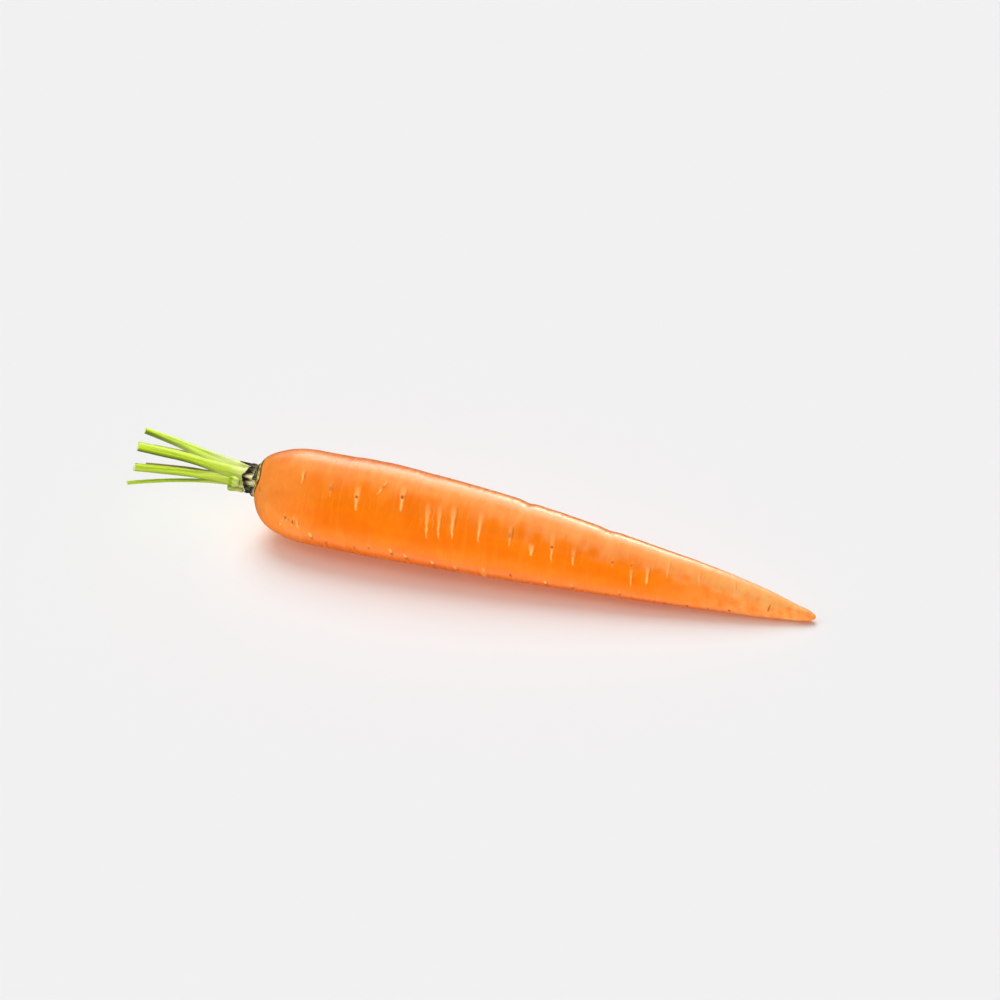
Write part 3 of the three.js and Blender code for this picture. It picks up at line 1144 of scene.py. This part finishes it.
    def carve(self, blank: RoundPoints) -> tuple[np.ndarray, dict[Mask, np.ndarray]]:
        """Work out the skin's relief and marks.

        Args:
            blank: The root's points, with their angle from the front, rising to the top.

        Returns:
            How far each point stands out, and the masks of the skin's finish.
        """
        count = len(blank.along)
        relief = sum(
            height * blank.ripple(self.seed + index, step, cells)
            for index, (height, step, cells) in enumerate(self.waves)
        )
        for dent in self.dents:
            relief -= self.dented(dent, blank)
        relief -= self.creases(blank)
        masks = {mask: np.zeros((count, 3)) for mask in (Mask.PLACE, Mask.KIND)}
        masks[Mask.SIZE] = np.ones((count, 3))
        masks[Mask.EYE] = np.zeros(count)
        for slit in [*self.slits, *self.scattered()]:
            self.cut(slit, blank, relief, masks)
        return relief, masks

    def bared(self, blank: RoundPoints) -> np.ndarray:
        """Say how far the skin's cracked edge is behind each point.

        Args:
            blank: The root's points.

        Returns:
            How many millimetres towards the crown each point lies past the edge.
        """
        spread = blank.gap(math.radians(self.bare_turn)) / self.bare_spread
        edge = self.shape.rim + self.bare_everywhere + self.bare_depth * np.exp(-(spread**2))
        edge = edge + 0.25 * blank.ripple(self.seed + 9, 9.0, 30)
        return np.clip(edge - blank.along, -self.bare_most, self.bare_most)

    def bloom_and_sheen(self, blank: RoundPoints) -> np.ndarray:
        """Say how much pale bloom and painted sheen each point has: most along the upper side, towards
        the tip.

        Args:
            blank: The root's points.

        Returns:
            The share of bloom and painted sheen at each.
        """
        share = np.clip(blank.along / self.shape.length, 0, 1)
        degrees = np.mod(np.degrees(blank.turn) + 90, 360) - 90
        degrees = degrees + self.bloom_and_sheen_sway * blank.ripple(self.seed + 13, 3.2, 22)
        low = self.bloom_and_sheen_low - self.bloom_and_sheen_drop * share
        side = smoothstep(0, self.bloom_and_sheen_edge, degrees - low)
        side = side * (1 - smoothstep(*self.bloom_and_sheen_far, degrees))
        grown = 0.2 + 0.3 * smoothstep(0.04, 0.2, share) + 0.5 * smoothstep(0.15, 0.75, share)
        return side * grown * self.bloom_and_sheen_share

    def dented(self, dent: Dent, blank: RoundPoints) -> np.ndarray:
        """Give the depth of one dent.

        Args:
            dent: The dent.
            blank: The root's points.

        Returns:
            The depth at each point.
        """
        lengthways = np.exp(-(((blank.along - dent.along) / dent.width) ** 2))
        gap = blank.gap(math.radians(dent.turn))
        return dent.depth * lengthways * np.exp(-((gap / self.dent_spread) ** 2))

    def creases(self, blank: RoundPoints) -> np.ndarray:
        """Give the depth of the fine creases that run part of the way round the root.

        Args:
            blank: The root's points.

        Returns:
            The depth at each point.
        """
        rng = np.random.default_rng(self.seed + 5)
        depth = np.zeros(len(blank.along))
        for _ in range(self.wrinkles):
            place, turn = rng.uniform(8, self.shape.length - 5), rng.uniform(0, 2 * math.pi)
            reach, wide = rng.uniform(2.5, 9), rng.uniform(0.45, 0.9)
            deep, skew = rng.uniform(0.02, 0.08), rng.uniform(-0.08, 0.08)
            gap = blank.gap(turn) * blank.radius
            near = np.exp(-(((blank.along - place - skew * gap) / wide) ** 2))
            depth += deep * near * np.clip(1 - (gap / reach) ** 2, 0, 1)
        return depth

    def scattered(self) -> list[Slit]:
        """Scatter slits over the sides of the root that the listed ones leave bare.

        Returns:
            The slits.
        """
        rng = np.random.default_rng(self.seed + 7)
        low, high = self.listed_turns
        made = []
        while len(made) < self.other_slits:
            turn = rng.uniform(high, 360 + low)
            made.append(
                Slit(
                    along=rng.uniform(12, self.shape.length - 8),
                    turn=turn,
                    length=rng.uniform(2.5, 9) * rng.uniform(0.5, 1),
                    width=rng.uniform(0.6, 1.1),
                    paleness=rng.uniform(0.3, 0.9),
                    pit=max(0.0, rng.uniform(-0.8, 1.0)),
                    skew=rng.uniform(-0.12, 0.12),
                    tall=rng.uniform(0.5, 0.9),
                    shade_brink=max(0.0, rng.uniform(-0.6, 0.8)),
                )
            )
        return made

    def cut(
        self, slit: Slit, blank: RoundPoints, relief: np.ndarray, masks: dict[Mask, np.ndarray]
    ) -> None:
        """Add one slit to the relief and the masks.

        Args:
            slit: The slit.
            blank: The root's points.
            relief: The relief, which this changes.
            masks: The masks, which this changes.
        """
        gap = blank.gap(math.radians(slit.turn)) * blank.radius
        offset = blank.along - slit.along - slit.skew * gap
        near = np.flatnonzero((np.abs(offset) < 3) & (np.abs(gap) < slit.length))
        middle = near[np.argmin(np.hypot(offset[near], gap[near]))]
        gap, offset = gap[near] - gap[middle], offset[near] - offset[middle]
        place = 2 * gap / slit.length
        taper = np.clip(1 - place**2, 0, 1)
        halo = np.exp(-((offset / slit.width) ** 2)) * taper
        dot = np.exp(-((offset / self.pit_half[0]) ** 2 + (gap / self.pit_half[1]) ** 2))
        relief[near] += self.ridge_height * halo * slit.paleness - self.pit_depth * dot * slit.pit
        reach = np.hypot(offset / (0.4 + 1.5 * slit.width), gap / (0.6 * max(slit.length, 3)))
        nearness = 1 - smoothstep(0.9, 1.3, reach)
        own = (nearness > 0) & (nearness >= masks[Mask.PLACE][near, 2])
        near = near[own]
        masks[Mask.PLACE][near] = np.stack([offset, gap, nearness], axis=-1)[own]
        masks[Mask.KIND][near] = (slit.paleness, slit.pit, slit.length)
        masks[Mask.SIZE][near] = (slit.width, slit.tall, slit.shade_brink)
        masks[Mask.EYE][near] = slit.eye


@dataclass(frozen=True)
class CrownFrame:
    """The frame of the crown: z points out of the root, x to the front, and y up."""

    origin: np.ndarray
    axis: Point = (-1.0, 0.05, 0.07)

    @classmethod
    def on(cls, shape: RootShape) -> "CrownFrame":
        """Stand the frame at the crown end of a root."""
        return cls(shape.centre_at(np.array(shape.crown_base)) + shape.crown_offset + shape.shift())

    def placed(self, points: np.ndarray) -> np.ndarray:
        """Carry points from the crown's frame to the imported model's.

        Args:
            points: The points in the crown's frame, in millimetres.

        Returns:
            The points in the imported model's.
        """
        axis = unit(np.array(self.axis))
        front = unit(np.cross((0, 0, 1), axis))
        return self.origin + points @ np.stack([front, np.cross(axis, front), axis])


@dataclass(frozen=True)
class Crown:
    """The short stem in the hollow of the shoulder. Its outline is a radius and a height each."""

    radius: float = 5.2
    top: float = 4.6
    foot: float = -2.5
    outline: tuple[Pair, ...] = (
        (1.6, -2.5),
        (4.3, -2.5),
        (4.5, -2.3),
        (4.5, -1.7),
        (4.4, 0.5),
        (4.45, 1.2),
        (4.6, 1.9),
        (4.75, 2.6),
        (4.95, 3.3),
        (5.15, 3.9),
        (4.9, 4.35),
        (4.2, 4.6),
        (3.0, 4.65),
        (1.2, 4.6),
    )
    sides: int = 40
    scar_height: float = 0.22
    cord_height: float = 0.10
    top_height: float = 0.25
    top_start: float = 4.0
    slim_turn: float = 124.0
    slim_spread: float = 0.8
    slim: float = 0.18
    seed: int = 23

    def build(self, frame: CrownFrame) -> bpy.types.Object:
        """Make the stem: a low barrel with the scars of older leaves round it.

        Args:
            frame: The crown's frame.

        Returns:
            The stem.
        """
        piece = Bench.turned("crown_visual", self.sides, self.outline)
        Bench.subdivide(piece, 2)
        points, blank = Bench.points(piece), Bench.round_points(piece)
        out = blank.radius
        scars = blank.ripple(self.seed, 1.3, 11) * self.scar_height
        cords = blank.ripple(self.seed + 1, 3.0, 46) * self.cord_height
        swell = (scars + cords) * np.clip(out / self.radius, 0, 1)
        spread = blank.gap(math.radians(self.slim_turn)) / self.slim_spread
        swell -= self.slim * out * np.exp(-(spread**2))
        points[:, :2] *= (1 + swell / np.maximum(out, 1))[:, None]
        uneven = ripple(self.seed + 2, out, blank.turn, 1.2, 9)
        points[:, 2] += self.top_height * uneven * (blank.along > self.top_start)
        Bench.carry(piece, frame.placed(points))
        along = (points[:, 2] - self.foot) / (self.top - self.foot)
        Bench.mark(piece, Mask.ALONG, np.clip(along, 0, 1))
        Bench.smooth(piece)
        return piece


@dataclass(frozen=True)
class LeafStalk:
    """A leaf stalk: a sheath that clasps the crown, then a ribbed stalk with a channel inside."""

    name: str
    degrees: float
    end: Point
    width: float
    thickness: float
    sheath: float = 6.8
    sheath_share: float = 0.52
    lap: float = 6.0
    ring: float = 3.6
    foot: float = 4.9
    sunk: float = 0.045
    lean: float = 0.8
    cut_tilt: float = 30.0
    ribs: float = 5.0
    wobble: float = 0.25
    greening: float = 1.0
    fresh: bool = True
    sides: int = 28
    shaft_rings: int = 34
    shaft_end: float = 0.985
    cut_rings: tuple[Pair, ...] = (
        (1.0, 0.998),
        (0.97, 1.0),
        (0.9, 1.0),
        (0.78, 0.997),
        (0.5, 0.994),
        (0.2, 0.993),
    )
    cut_toward: Point = (0.80, 0.60, 0.0)
    blank_length: float = 100.0
    sheath_bend: float = 4.1
    shaft_curl: float = 0.08
    crease: float = 50.0
    seed: int = 0

    def outline(self) -> list[Pair]:
        """Give the rings of the straight blank.

        Returns:
            The radius of each, up to 1, and its height as a share of the length.
        """
        shaft = np.linspace(-self.sunk, self.shaft_end, self.shaft_rings)
        rings = [(0.5, -self.sunk), (0.97, -self.sunk)] + [(1.0, float(t)) for t in shaft]
        return rings + list(self.cut_rings)

    def path(self, share: np.ndarray) -> tuple[np.ndarray, np.ndarray, np.ndarray]:
        """Follow the stalk's curve.

        Args:
            share: How far along the stalk each point is, 0 at the foot and 1 at the cut.

        Returns:
            The curve's points, its directions, and the direction that faces out of the bundle.
        """
        angle = math.radians(self.degrees)
        outward = np.array([math.cos(angle), math.sin(angle), 0.0])
        foot = outward * self.ring + (0, 0, self.foot)
        cut = np.array(self.end)
        bend = outward * (self.ring + self.lean) + (0, 0, self.foot + 0.4 * (cut[2] - self.foot))
        t = share[:, None]
        places = (1 - t) ** 2 * foot + 2 * t * (1 - t) * bend + t**2 * cut
        tangent = unit(2 * (1 - t) * (bend - foot) + 2 * t * (cut - bend))
        sway = self.wobble * np.sin(math.pi * np.clip(t, 0, 1)) * np.sin(5 * t + self.seed)
        side = unit(np.cross(outward, tangent))
        return places + side * sway, tangent, np.broadcast_to(outward, places.shape)

    def section(self, blank: RoundPoints, clasp: np.ndarray) -> tuple[np.ndarray, np.ndarray]:
        """Shape the stalk's section: ribbed outside, hollow inside, and curled round the crown.

        Args:
            blank: The blank's points, with heights as shares of the length and radii up to 1.
            clasp: How much of a sheath the stalk is at each point.

        Returns:
            Each point's distance from the stalk's curve to its side and outwards.
        """
        share, fill = blank.along, blank.radius
        across, outer = np.cos(blank.turn), np.sin(blank.turn)
        half = self.width / 2 + (self.sheath / 2 - self.width / 2) * clasp**1.2
        half = half * (1 + 0.03 * np.sin(17 * share + self.seed))
        round_off = np.sqrt(np.clip(1 - across**2, 0, 1))
        midrib = np.exp(-((across / 0.45) ** 2))
        back = self.thickness * (0.58 * (1 - clasp) + clasp * (0.16 + 0.42 * midrib)) * round_off
        ribs = 0.05 * self.width / 2.8 * np.cos(math.pi * self.ribs * across) * round_off
        hollow = 0.5 * np.exp(-((across / 0.5) ** 2)) * (0.35 + 0.65 * (1 - clasp))
        belly = self.thickness * ((0.42 - 0.26 * clasp) * round_off - hollow * 0.55)
        rise = np.where(outer >= 0, back + ribs, -belly)
        sideways = half * across * fill
        rise = rise * fill
        curl = clasp / self.sheath_bend + (1 - clasp) * self.shaft_curl
        bent = curl * sideways
        x = np.sin(bent) / curl + rise * np.sin(bent)
        y = (np.cos(bent) - 1) / curl + rise * np.cos(bent)
        lap = np.radians(self.lap) * clasp
        return x * np.cos(lap) - y * np.sin(lap), x * np.sin(lap) + y * np.cos(lap)

    def masks(self, blank: RoundPoints, clasp: np.ndarray) -> dict[Mask, np.ndarray]:
        """Work out the values that the stalk's finish reads.

        Args:
            blank: The blank's points, with heights as shares of the length and radii up to 1.
            clasp: How much of a sheath the stalk is at each point.

        Returns:
            The values of each mask.
        """
        share, turn = blank.along, blank.turn
        across, outer = np.cos(turn), np.sin(turn)
        # The channel inside and the margin at across > 0, which is the lower side on the stalks that
        # face the front, are darkened as painted shade.
        inner = (outer < 0) * (1 - across**2) ** 2
        shade = smoothstep(0.3, 0.95, across) * (1 - 0.6 * clasp)
        return {
            Mask.ALONG: np.clip(share, 0, 1) ** self.greening,
            Mask.CUT: (share > 0.9) * (1 - smoothstep(0.84, 0.97, blank.radius)),
            Mask.EDGE: np.abs(across) ** np.where(across < 0, 2.5, 5.0) * clasp,
            Mask.PAINTED_SHADE: np.maximum(inner * (1 - clasp), shade),
            # Painted highlight along one rib on the outside.
            Mask.RIDGE_HIGHLIGHT: np.exp(-(((across + 0.4) / 0.3) ** 2)) * (outer > 0) * (1 - 0.5 * clasp),
            Mask.GRAIN: np.stack([across, outer, share * 0.6 + self.seed * 7], axis=-1),
        }

    def build(self, frame: CrownFrame) -> bpy.types.Object:
        """Make the stalk's mesh and the values that its points carry.

        Args:
            frame: The crown's frame.

        Returns:
            The stalk.
        """
        rings = [(radius, height * self.blank_length) for radius, height in self.outline()]
        piece = Bench.turned(f"{self.name}_visual", self.sides, rings)
        Bench.subdivide(piece, 1)
        blank = Bench.round_points(piece)
        share = blank.along / self.blank_length
        blank = replace(blank, along=share, radius=np.minimum(blank.radius, 1.0))
        clasp = 1 - smoothstep(0.0, self.sheath_share, share)
        x, y = self.section(blank, clasp)
        places, tangent, outward = self.path(share)
        side = unit(np.cross(outward, tangent))
        out = np.cross(tangent, side)
        offset = side * x[:, None] + out * y[:, None]
        slant = -math.tan(math.radians(self.cut_tilt)) * (offset @ np.array(self.cut_toward))
        places = places + offset + tangent * (slant * smoothstep(0.86, 1.0, share))[:, None]
        Bench.carry(piece, frame.placed(places))
        Bench.mark_all(piece, self.masks(blank, clasp))
        Bench.smooth(piece, self.crease)
        return piece


@dataclass(frozen=True)
class Bud:
    """A small rounded piece on the crown's edge, such as a knob or the stub of a stalk."""

    name: str
    degrees: float
    ring: float
    radius: float
    height: float
    foot: float = 4.4
    wide: float = 1.3
    green: float = 0.22
    paleness: float = 0.0
    profile: tuple[Pair, ...] = (
        (0.35, 0.0),
        (0.66, 0.02),
        (0.76, 0.12),
        (0.94, 0.32),
        (1.0, 0.52),
        (0.92, 0.72),
        (0.7, 0.88),
        (0.4, 0.97),
        (0.15, 1.0),
    )
    sides: int = 24
    unevenness: float = 0.08
    deep: float = 0.85
    green_start: float = 0.25
    seed: int = 31

    def build(self, frame: CrownFrame) -> bpy.types.Object:
        """Make the piece, slightly uneven all round.

        Args:
            frame: The crown's frame.

        Returns:
            The piece.
        """
        outline = [(self.radius * out, self.height * up) for out, up in self.profile]
        piece = Bench.turned(f"{self.name}_visual", self.sides, outline)
        Bench.subdivide(piece, 2)
        points, blank = Bench.points(piece), Bench.round_points(piece)
        turn, share = blank.turn, blank.along / self.height
        points[:, :2] *= (1 + self.unevenness * blank.ripple(self.seed, 1.1, 7))[:, None]
        angle = math.radians(self.degrees)
        out = np.array([math.cos(angle), math.sin(angle), 0.0])
        side = np.array([-out[1], out[0], 0.0])
        places = out * (self.ring + points[:, :1] * self.deep) + side * points[:, 1:2] * self.wide
        places[:, 2] = self.foot + points[:, 2]
        Bench.carry(piece, frame.placed(places))
        none = dict.fromkeys((Mask.CUT, Mask.EDGE, Mask.PAINTED_SHADE, Mask.RIDGE_HIGHLIGHT), np.zeros(len(points)))
        green = self.green * smoothstep(self.green_start, 1.0, share)
        grain = np.stack([np.cos(turn), np.sin(turn), share], axis=-1)
        Bench.mark_all(piece, {Mask.ALONG: green, **none, Mask.GRAIN: grain})
        Bench.smooth(piece)
        return piece


@dataclass(frozen=True)
class DryScale:
    """A dry scale: what an older leaf left round the crown, torn along its top."""

    name: str
    degrees: float
    sweep: float
    heights: tuple[float, ...]
    inner: float = 4.7
    foot: float = -2.1
    flare: float = 0.9
    thickness: float = 0.45
    char: float = 1.3
    spike_at: float = 0.0
    spike: float = 0.0
    faces_across: int = 30
    faces_up: int = 12
    tear: float = 0.35
    crinkle: float = 0.16
    side_edge: Pair = (0.82, 0.97)
    seed: int = 0

    def build(self, frame: CrownFrame) -> bpy.types.Object:
        """Make the scale: a sheet bent round the crown, torn and crinkled, then thickened.

        Args:
            frame: The crown's frame.

        Returns:
            The scale.
        """
        piece = Bench.leaf(f"{self.name}_visual", self.faces_across, self.faces_up)
        points = Bench.points(piece) * MM
        across, up = points[:, 0] * 2, points[:, 1]
        rng = np.random.default_rng(self.seed)
        count = self.faces_across + 1
        columns = np.linspace(-1, 1, count)
        heights = np.interp(columns, np.linspace(-1, 1, len(self.heights)), self.heights)
        heights = heights + rng.uniform(-self.tear, self.tear, count) * np.minimum(1, heights)
        top = np.interp(across, columns, heights)
        nearest = np.argmin(np.abs(self.degrees + columns * self.sweep / 2 - self.spike_at))
        heights[nearest] = max(heights[nearest], self.spike)
        heights[nearest - 1] = max(heights[nearest - 1], self.spike * 0.65)
        height = np.interp(across, columns, heights)
        turn = np.radians(self.degrees + across * self.sweep / 2)
        crinkle = self.crinkle * np.interp(across, columns, rng.uniform(-1, 1, count)) * (0.3 + up)
        out = self.inner + self.thickness / 2 + self.flare * up**2 + crinkle
        places = np.stack([out * np.cos(turn), out * np.sin(turn), self.foot + up * height], axis=-1)
        Bench.carry(piece, frame.placed(places))
        char = self.char * (0.7 + 2.4 * across**2)
        torn = 1 - np.clip((top - up * height) / char * 2 - 1, 0, 1)
        edge = np.maximum(torn, smoothstep(*self.side_edge, np.abs(across)))
        grain = np.stack([across, up * 0.15, up * 0 + self.seed], axis=-1)
        Bench.mark_all(piece, {Mask.EDGE: edge, Mask.ALONG: up, Mask.GRAIN: grain})
        Bench.thicken(piece, self.thickness)
        Bench.subdivide(piece, 1)
        Bench.smooth(piece)
        return piece


@dataclass(frozen=True)
class Lamp:
    """A lamp: where it hangs, how strong and how wide it is, its tint, and what it lights."""

    name: str
    azimuth: float
    elevation: float
    strength: float
    angle: float
    tint: Point = (1.0, 1.0, 1.0)
    lit: Lit = Lit.CARROT
    lights: bool = True
    gleams: bool = True
    shadows: bool = True

    def collect(self, purpose: str, pieces: list[bpy.types.Object]) -> bpy.types.Collection:
        """Collect the pieces that the lamp works on.

        Args:
            purpose: What the lamp does to them.
            pieces: The pieces.

        Returns:
            The collection.
        """
        made = bpy.data.collections.new(f"{self.name}_{purpose}")
        for piece in pieces:
            made.objects.link(piece)
        return made

    def hang(self, direction: Vector, groups: dict[Lit, list[bpy.types.Object]]) -> None:
        """Hang the lamp.

        Args:
            direction: Where it hangs, seen from the carrot.
            groups: What each kind of lamp lights. Only the root casts a shadow on the floor.
        """
        light = bpy.data.lights.new(self.name, "SUN")
        light.energy = self.strength
        light.color = self.tint
        light.angle = math.radians(self.angle)
        light.use_shadow = self.shadows
        holder = bpy.data.objects.new(self.name, light)
        holder.rotation_euler = direction.to_track_quat("Z", "Y").to_euler()
        holder.visible_diffuse = self.lights
        holder.visible_glossy = self.gleams
        blocking = groups[Lit.ROOT if self.lit is Lit.FLOOR else Lit.CARROT]
        holder.light_linking.receiver_collection = self.collect("lights", groups[self.lit])
        holder.light_linking.blocker_collection = self.collect("is_blocked_by", blocking)
        bpy.context.collection.objects.link(holder)


@dataclass(frozen=True)
class Studio:
    """A plain pale floor under soft lamps, and the camera."""

    floor: Colour = (0.89, 0.89, 0.89, 1.0)
    backdrop: Colour = colour(242, 242, 242)
    ambient: float = 0.05
    azimuth: float = 16.9
    elevation: float = 33.0
    distance: float = 1200.0
    lens: float = 126.8
    aim: Point = (12.9, -1.63, 10.0)
    aim_up: float = 16.1
    sensor: float = 36.0
    clip: Pair = (0.01, 100.0)
    floor_width: float = 60.0
    floor_roughness: float = 0.9
    lamps: tuple[Lamp, ...] = (
        Lamp("front_lamp", 14, -8, 1.64, 90, (1.0, 0.98, 0.95), Lit.ROOT, gleams=False),
        Lamp("front_fill", 14, 20, 0.2, 90, lit=Lit.COLLAR, gleams=False),
        Lamp("left_lamp", -62, 20, 0.65, 60, gleams=False),
        Lamp("right_lamp", 80, 20, 0.45, 60, gleams=False),
        Lamp("top_lamp", 14, 80, 1.35, 100, (1.0, 0.97, 0.88)),
        Lamp("top_fill", 0, 75, 1.2, 60, lit=Lit.COLLAR),
        Lamp("back_lamp", 178, 50, 1.7, 70),
        Lamp("rim_lamp", 188, 33, 1.3, 37, (0.82, 0.83, 1.0), lights=False),
        Lamp("shoulder_lamp", 206, 19, 0.28, 30, (0.82, 0.82, 1.0), lights=False),
        Lamp("edge_lamp", 183, 14, 0.33, 12, (1.0, 1.0, 0.9), lights=False),
        Lamp("low_lamp", 14, -62, 1.65, 76, (0.6, 0.85, 0.75), lights=False),
        Lamp("under_lamp", 14, -50, 0.5, 60, (1.0, 0.9, 0.6), Lit.ROOT, gleams=False),
        Lamp("floor_key", 208, 58, 1.98, 50, (0.925, 0.978, 1.0), Lit.FLOOR),
        Lamp("floor_side", 292, 42, 0.55, 44, (0.925, 0.978, 1.0), Lit.FLOOR),
        Lamp("floor_top", 0, 88, 0.6, 70, (0.925, 0.978, 1.0), Lit.FLOOR),
        Lamp("floor_fill", 0, 89, 0.5, 10, (1.0, 0.72, 0.6), Lit.FLOOR, shadows=False),
    )

    @staticmethod
    def toward(azimuth: float, elevation: float) -> Vector:
        """Give the direction to a place round the object: azimuth 0 is the front, 90 is +X."""
        a, e = math.radians(azimuth), math.radians(elevation)
        return Vector((math.sin(a) * math.cos(e), -math.cos(a) * math.cos(e), math.sin(e)))

    def lay_floor(self) -> bpy.types.Object:
        """Lay the floor, which glossy rays don't see.

        Returns:
            The floor.
        """
        Bench.clear()
        bpy.ops.mesh.primitive_plane_add(size=self.floor_width)
        floor = bpy.context.object
        floor.name = "floor"
        paper = Paint("floor_paper").dress(
            base_color=self.floor, roughness=self.floor_roughness, specular_ior_level=0.0
        )
        floor.data.materials.append(paper)
        floor.visible_glossy = False
        return floor

    def fill_world(self) -> None:
        """Light the surroundings dimly, and show them as pale as the floor."""
        world = bpy.data.worlds.new("surroundings")
        bpy.context.scene.world = world
        world.use_nodes = True
        nodes, links = world.node_tree.nodes, world.node_tree.links
        nodes.clear()
        dim, shown = nodes.new("ShaderNodeBackground"), nodes.new("ShaderNodeBackground")
        dim.inputs["Color"].default_value = (self.ambient, self.ambient, self.ambient, 1)
        shown.inputs["Color"].default_value = self.backdrop
        choose, rays = nodes.new("ShaderNodeMixShader"), nodes.new("ShaderNodeLightPath")
        links.new(rays.outputs["Is Camera Ray"], choose.inputs[0])
        links.new(dim.outputs[0], choose.inputs[1])
        links.new(shown.outputs[0], choose.inputs[2])
        links.new(choose.outputs[0], nodes.new("ShaderNodeOutputWorld").inputs["Surface"])

    def set_camera(self) -> None:
        """Set the camera."""
        camera = bpy.data.cameras.new("camera")
        camera.lens = self.lens
        camera.sensor_width = self.sensor
        camera.clip_start, camera.clip_end = self.clip
        holder = bpy.data.objects.new("camera", camera)
        back = self.toward(self.azimuth, self.elevation)
        right = self.toward(self.azimuth + 90, 0)
        aim = Vector(self.aim) * MM + back.cross(right) * self.aim_up * MM
        holder.location = aim + back * self.distance * MM
        holder.rotation_euler = back.to_track_quat("Z", "Y").to_euler()
        bpy.context.collection.objects.link(holder)
        bpy.context.scene.camera = holder

    def build(self, root: bpy.types.Object, collar: list[bpy.types.Object]) -> None:
        """Set up the floor, the lamps, the surroundings and the camera.

        Args:
            root: The root.
            collar: The other pieces of the carrot.
        """
        groups = {
            Lit.CARROT: [root, *collar],
            Lit.ROOT: [root],
            Lit.COLLAR: collar,
            Lit.FLOOR: [self.lay_floor()],
        }
        for lamp in self.lamps:
            lamp.hang(self.toward(lamp.azimuth, lamp.elevation), groups)
        self.fill_world()
        self.set_camera()
        bpy.context.scene.view_settings.view_transform = "Standard"


@dataclass(frozen=True)
class Collar:
    """What stands on the crown end of the root: the stem, the stalks and the dry scales."""

    frame: CrownFrame
    stalks: tuple[LeafStalk, ...] = (
        LeafStalk(
            "stalk_1",
            84,
            (-1.5, 6.5, 43.6),
            2.5,
            2.3,
            sheath=8.2,
            sheath_share=1.1,
            ring=3.4,
            lean=1.7,
            greening=2.2,
        ),
        LeafStalk("stalk_2", 46, (4.0, 3.2, 43.8), 3.5, 2.7),
        LeafStalk("stalk_3", -14, (7.4, -3.2, 43.5), 3.2, 2.6),
        LeafStalk("stalk_4", -58, (8.0, -10.1, 45.9), 1.8, 1.5),
        LeafStalk("stalk_5", -112, (-3.0, -9.5, 44.0), 2.8, 2.2, fresh=False),
        LeafStalk("stalk_6", 188, (-6.2, -3.3, 42.5), 2.6, 2.0, fresh=False),
    )
    knob: Bud = Bud("side_bud", 4, 5.9, 1.6, 4.2, green=0.22, paleness=-0.15)
    stub: Bud = Bud(
        "stalk_stub",
        -66,
        5.6,
        1.5,
        6.0,
        wide=1.1,
        green=0.9,
        paleness=0.3,
        profile=(
            (0.4, 0.0),
            (0.64, 0.02),
            (0.66, 0.3),
            (0.7, 0.5),
            (0.94, 0.7),
            (1.0, 0.84),
            (0.8, 0.95),
            (0.45, 0.99),
            (0.2, 1.0),
        ),
    )
    scales: tuple[DryScale, ...] = (
        DryScale(
            "tall_scale_1",
            26,
            120,
            (4.7, 5.0, 5.5, 6.5, 5.5, 4.6, 3.0),
            char=2.3,
            spike_at=82,
            spike=10.6,
        ),
        DryScale("tall_scale_2", 118, 50, (4.0, 4.6, 5.0, 4.4, 5.4, 4.0), 4.1, flare=0.1, char=3.0),
        DryScale("tall_scale_3", 190, 62, (3.7, 5.9, 4.9, 6.5, 4.5, 2.9)),
        DryScale("tall_scale_4", 285, 66, (3.1, 4.7, 6.1, 5.1, 5.7, 4.5)),
        DryScale("short_scale_1", 60, 66, (2.4, 1.8, 1.4, 1.7, 1.2), 5.7, flare=0.5, char=0.8),
        DryScale("short_scale_2", 150, 66, (1.2, 2.2, 1.5, 2.4, 1.1), 5.4, flare=0.3, char=0.8),
        DryScale("short_scale_3", 240, 66, (1.4, 1.9, 2.5, 1.5, 1.2), 5.7, flare=0.5, char=0.8),
        DryScale("short_scale_4", 330, 66, (1.4, 2.3, 3.0, 2.4, 2.2), 5.7, flare=0.5, char=0.8),
    )
    scale_seed: int = 40
    fresh_finish: StalkFinish = StalkFinish()
    dry_finish: StalkFinish = StalkFinish(
        cream=colour(222, 206, 140),
        lime=colour(186, 160, 84),
        green=colour(138, 132, 30),
        ridge_highlight=colour(206, 190, 120),
        dark=colour(118, 88, 44),
    )

    def build(self) -> list[bpy.types.Object]:
        """Build and dress every piece of the collar.

        Returns:
            The pieces.
        """
        made = [hand_over(Crown().build(self.frame), "crown", CrownFinish().make())]
        fresh = self.fresh_finish.make("stalk_flesh")
        dry = self.dry_finish.make("dry_stalk_flesh")
        for seed, stalk in enumerate(self.stalks):
            finish = fresh if stalk.fresh else dry
            piece = replace(stalk, seed=seed).build(self.frame)
            made.append(hand_over(piece, stalk.name, finish))
        for bud in (self.knob, self.stub):
            finish = self.fresh_finish.make(f"{bud.name}_flesh", bud.paleness)
            made.append(hand_over(bud.build(self.frame), bud.name, finish))
        fibre = ScaleFinish().make()
        for seed, scale in enumerate(self.scales):
            piece = replace(scale, seed=self.scale_seed + seed).build(self.frame)
            made.append(hand_over(piece, scale.name, fibre))
        return made


def main() -> None:
    """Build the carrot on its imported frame, and the studio round it."""
    logging.basicConfig(level=logging.INFO, format="%(name)s: %(message)s")
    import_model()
    shape = RootShape()
    root = Root(shape).build()
    low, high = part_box("root")
    hand_over(root, "root", SkinFinish().make(low.x, high.x))
    collar = Collar(CrownFrame.on(shape)).build()
    Studio().build(root, collar)


if __name__ == "__main__":
    main()
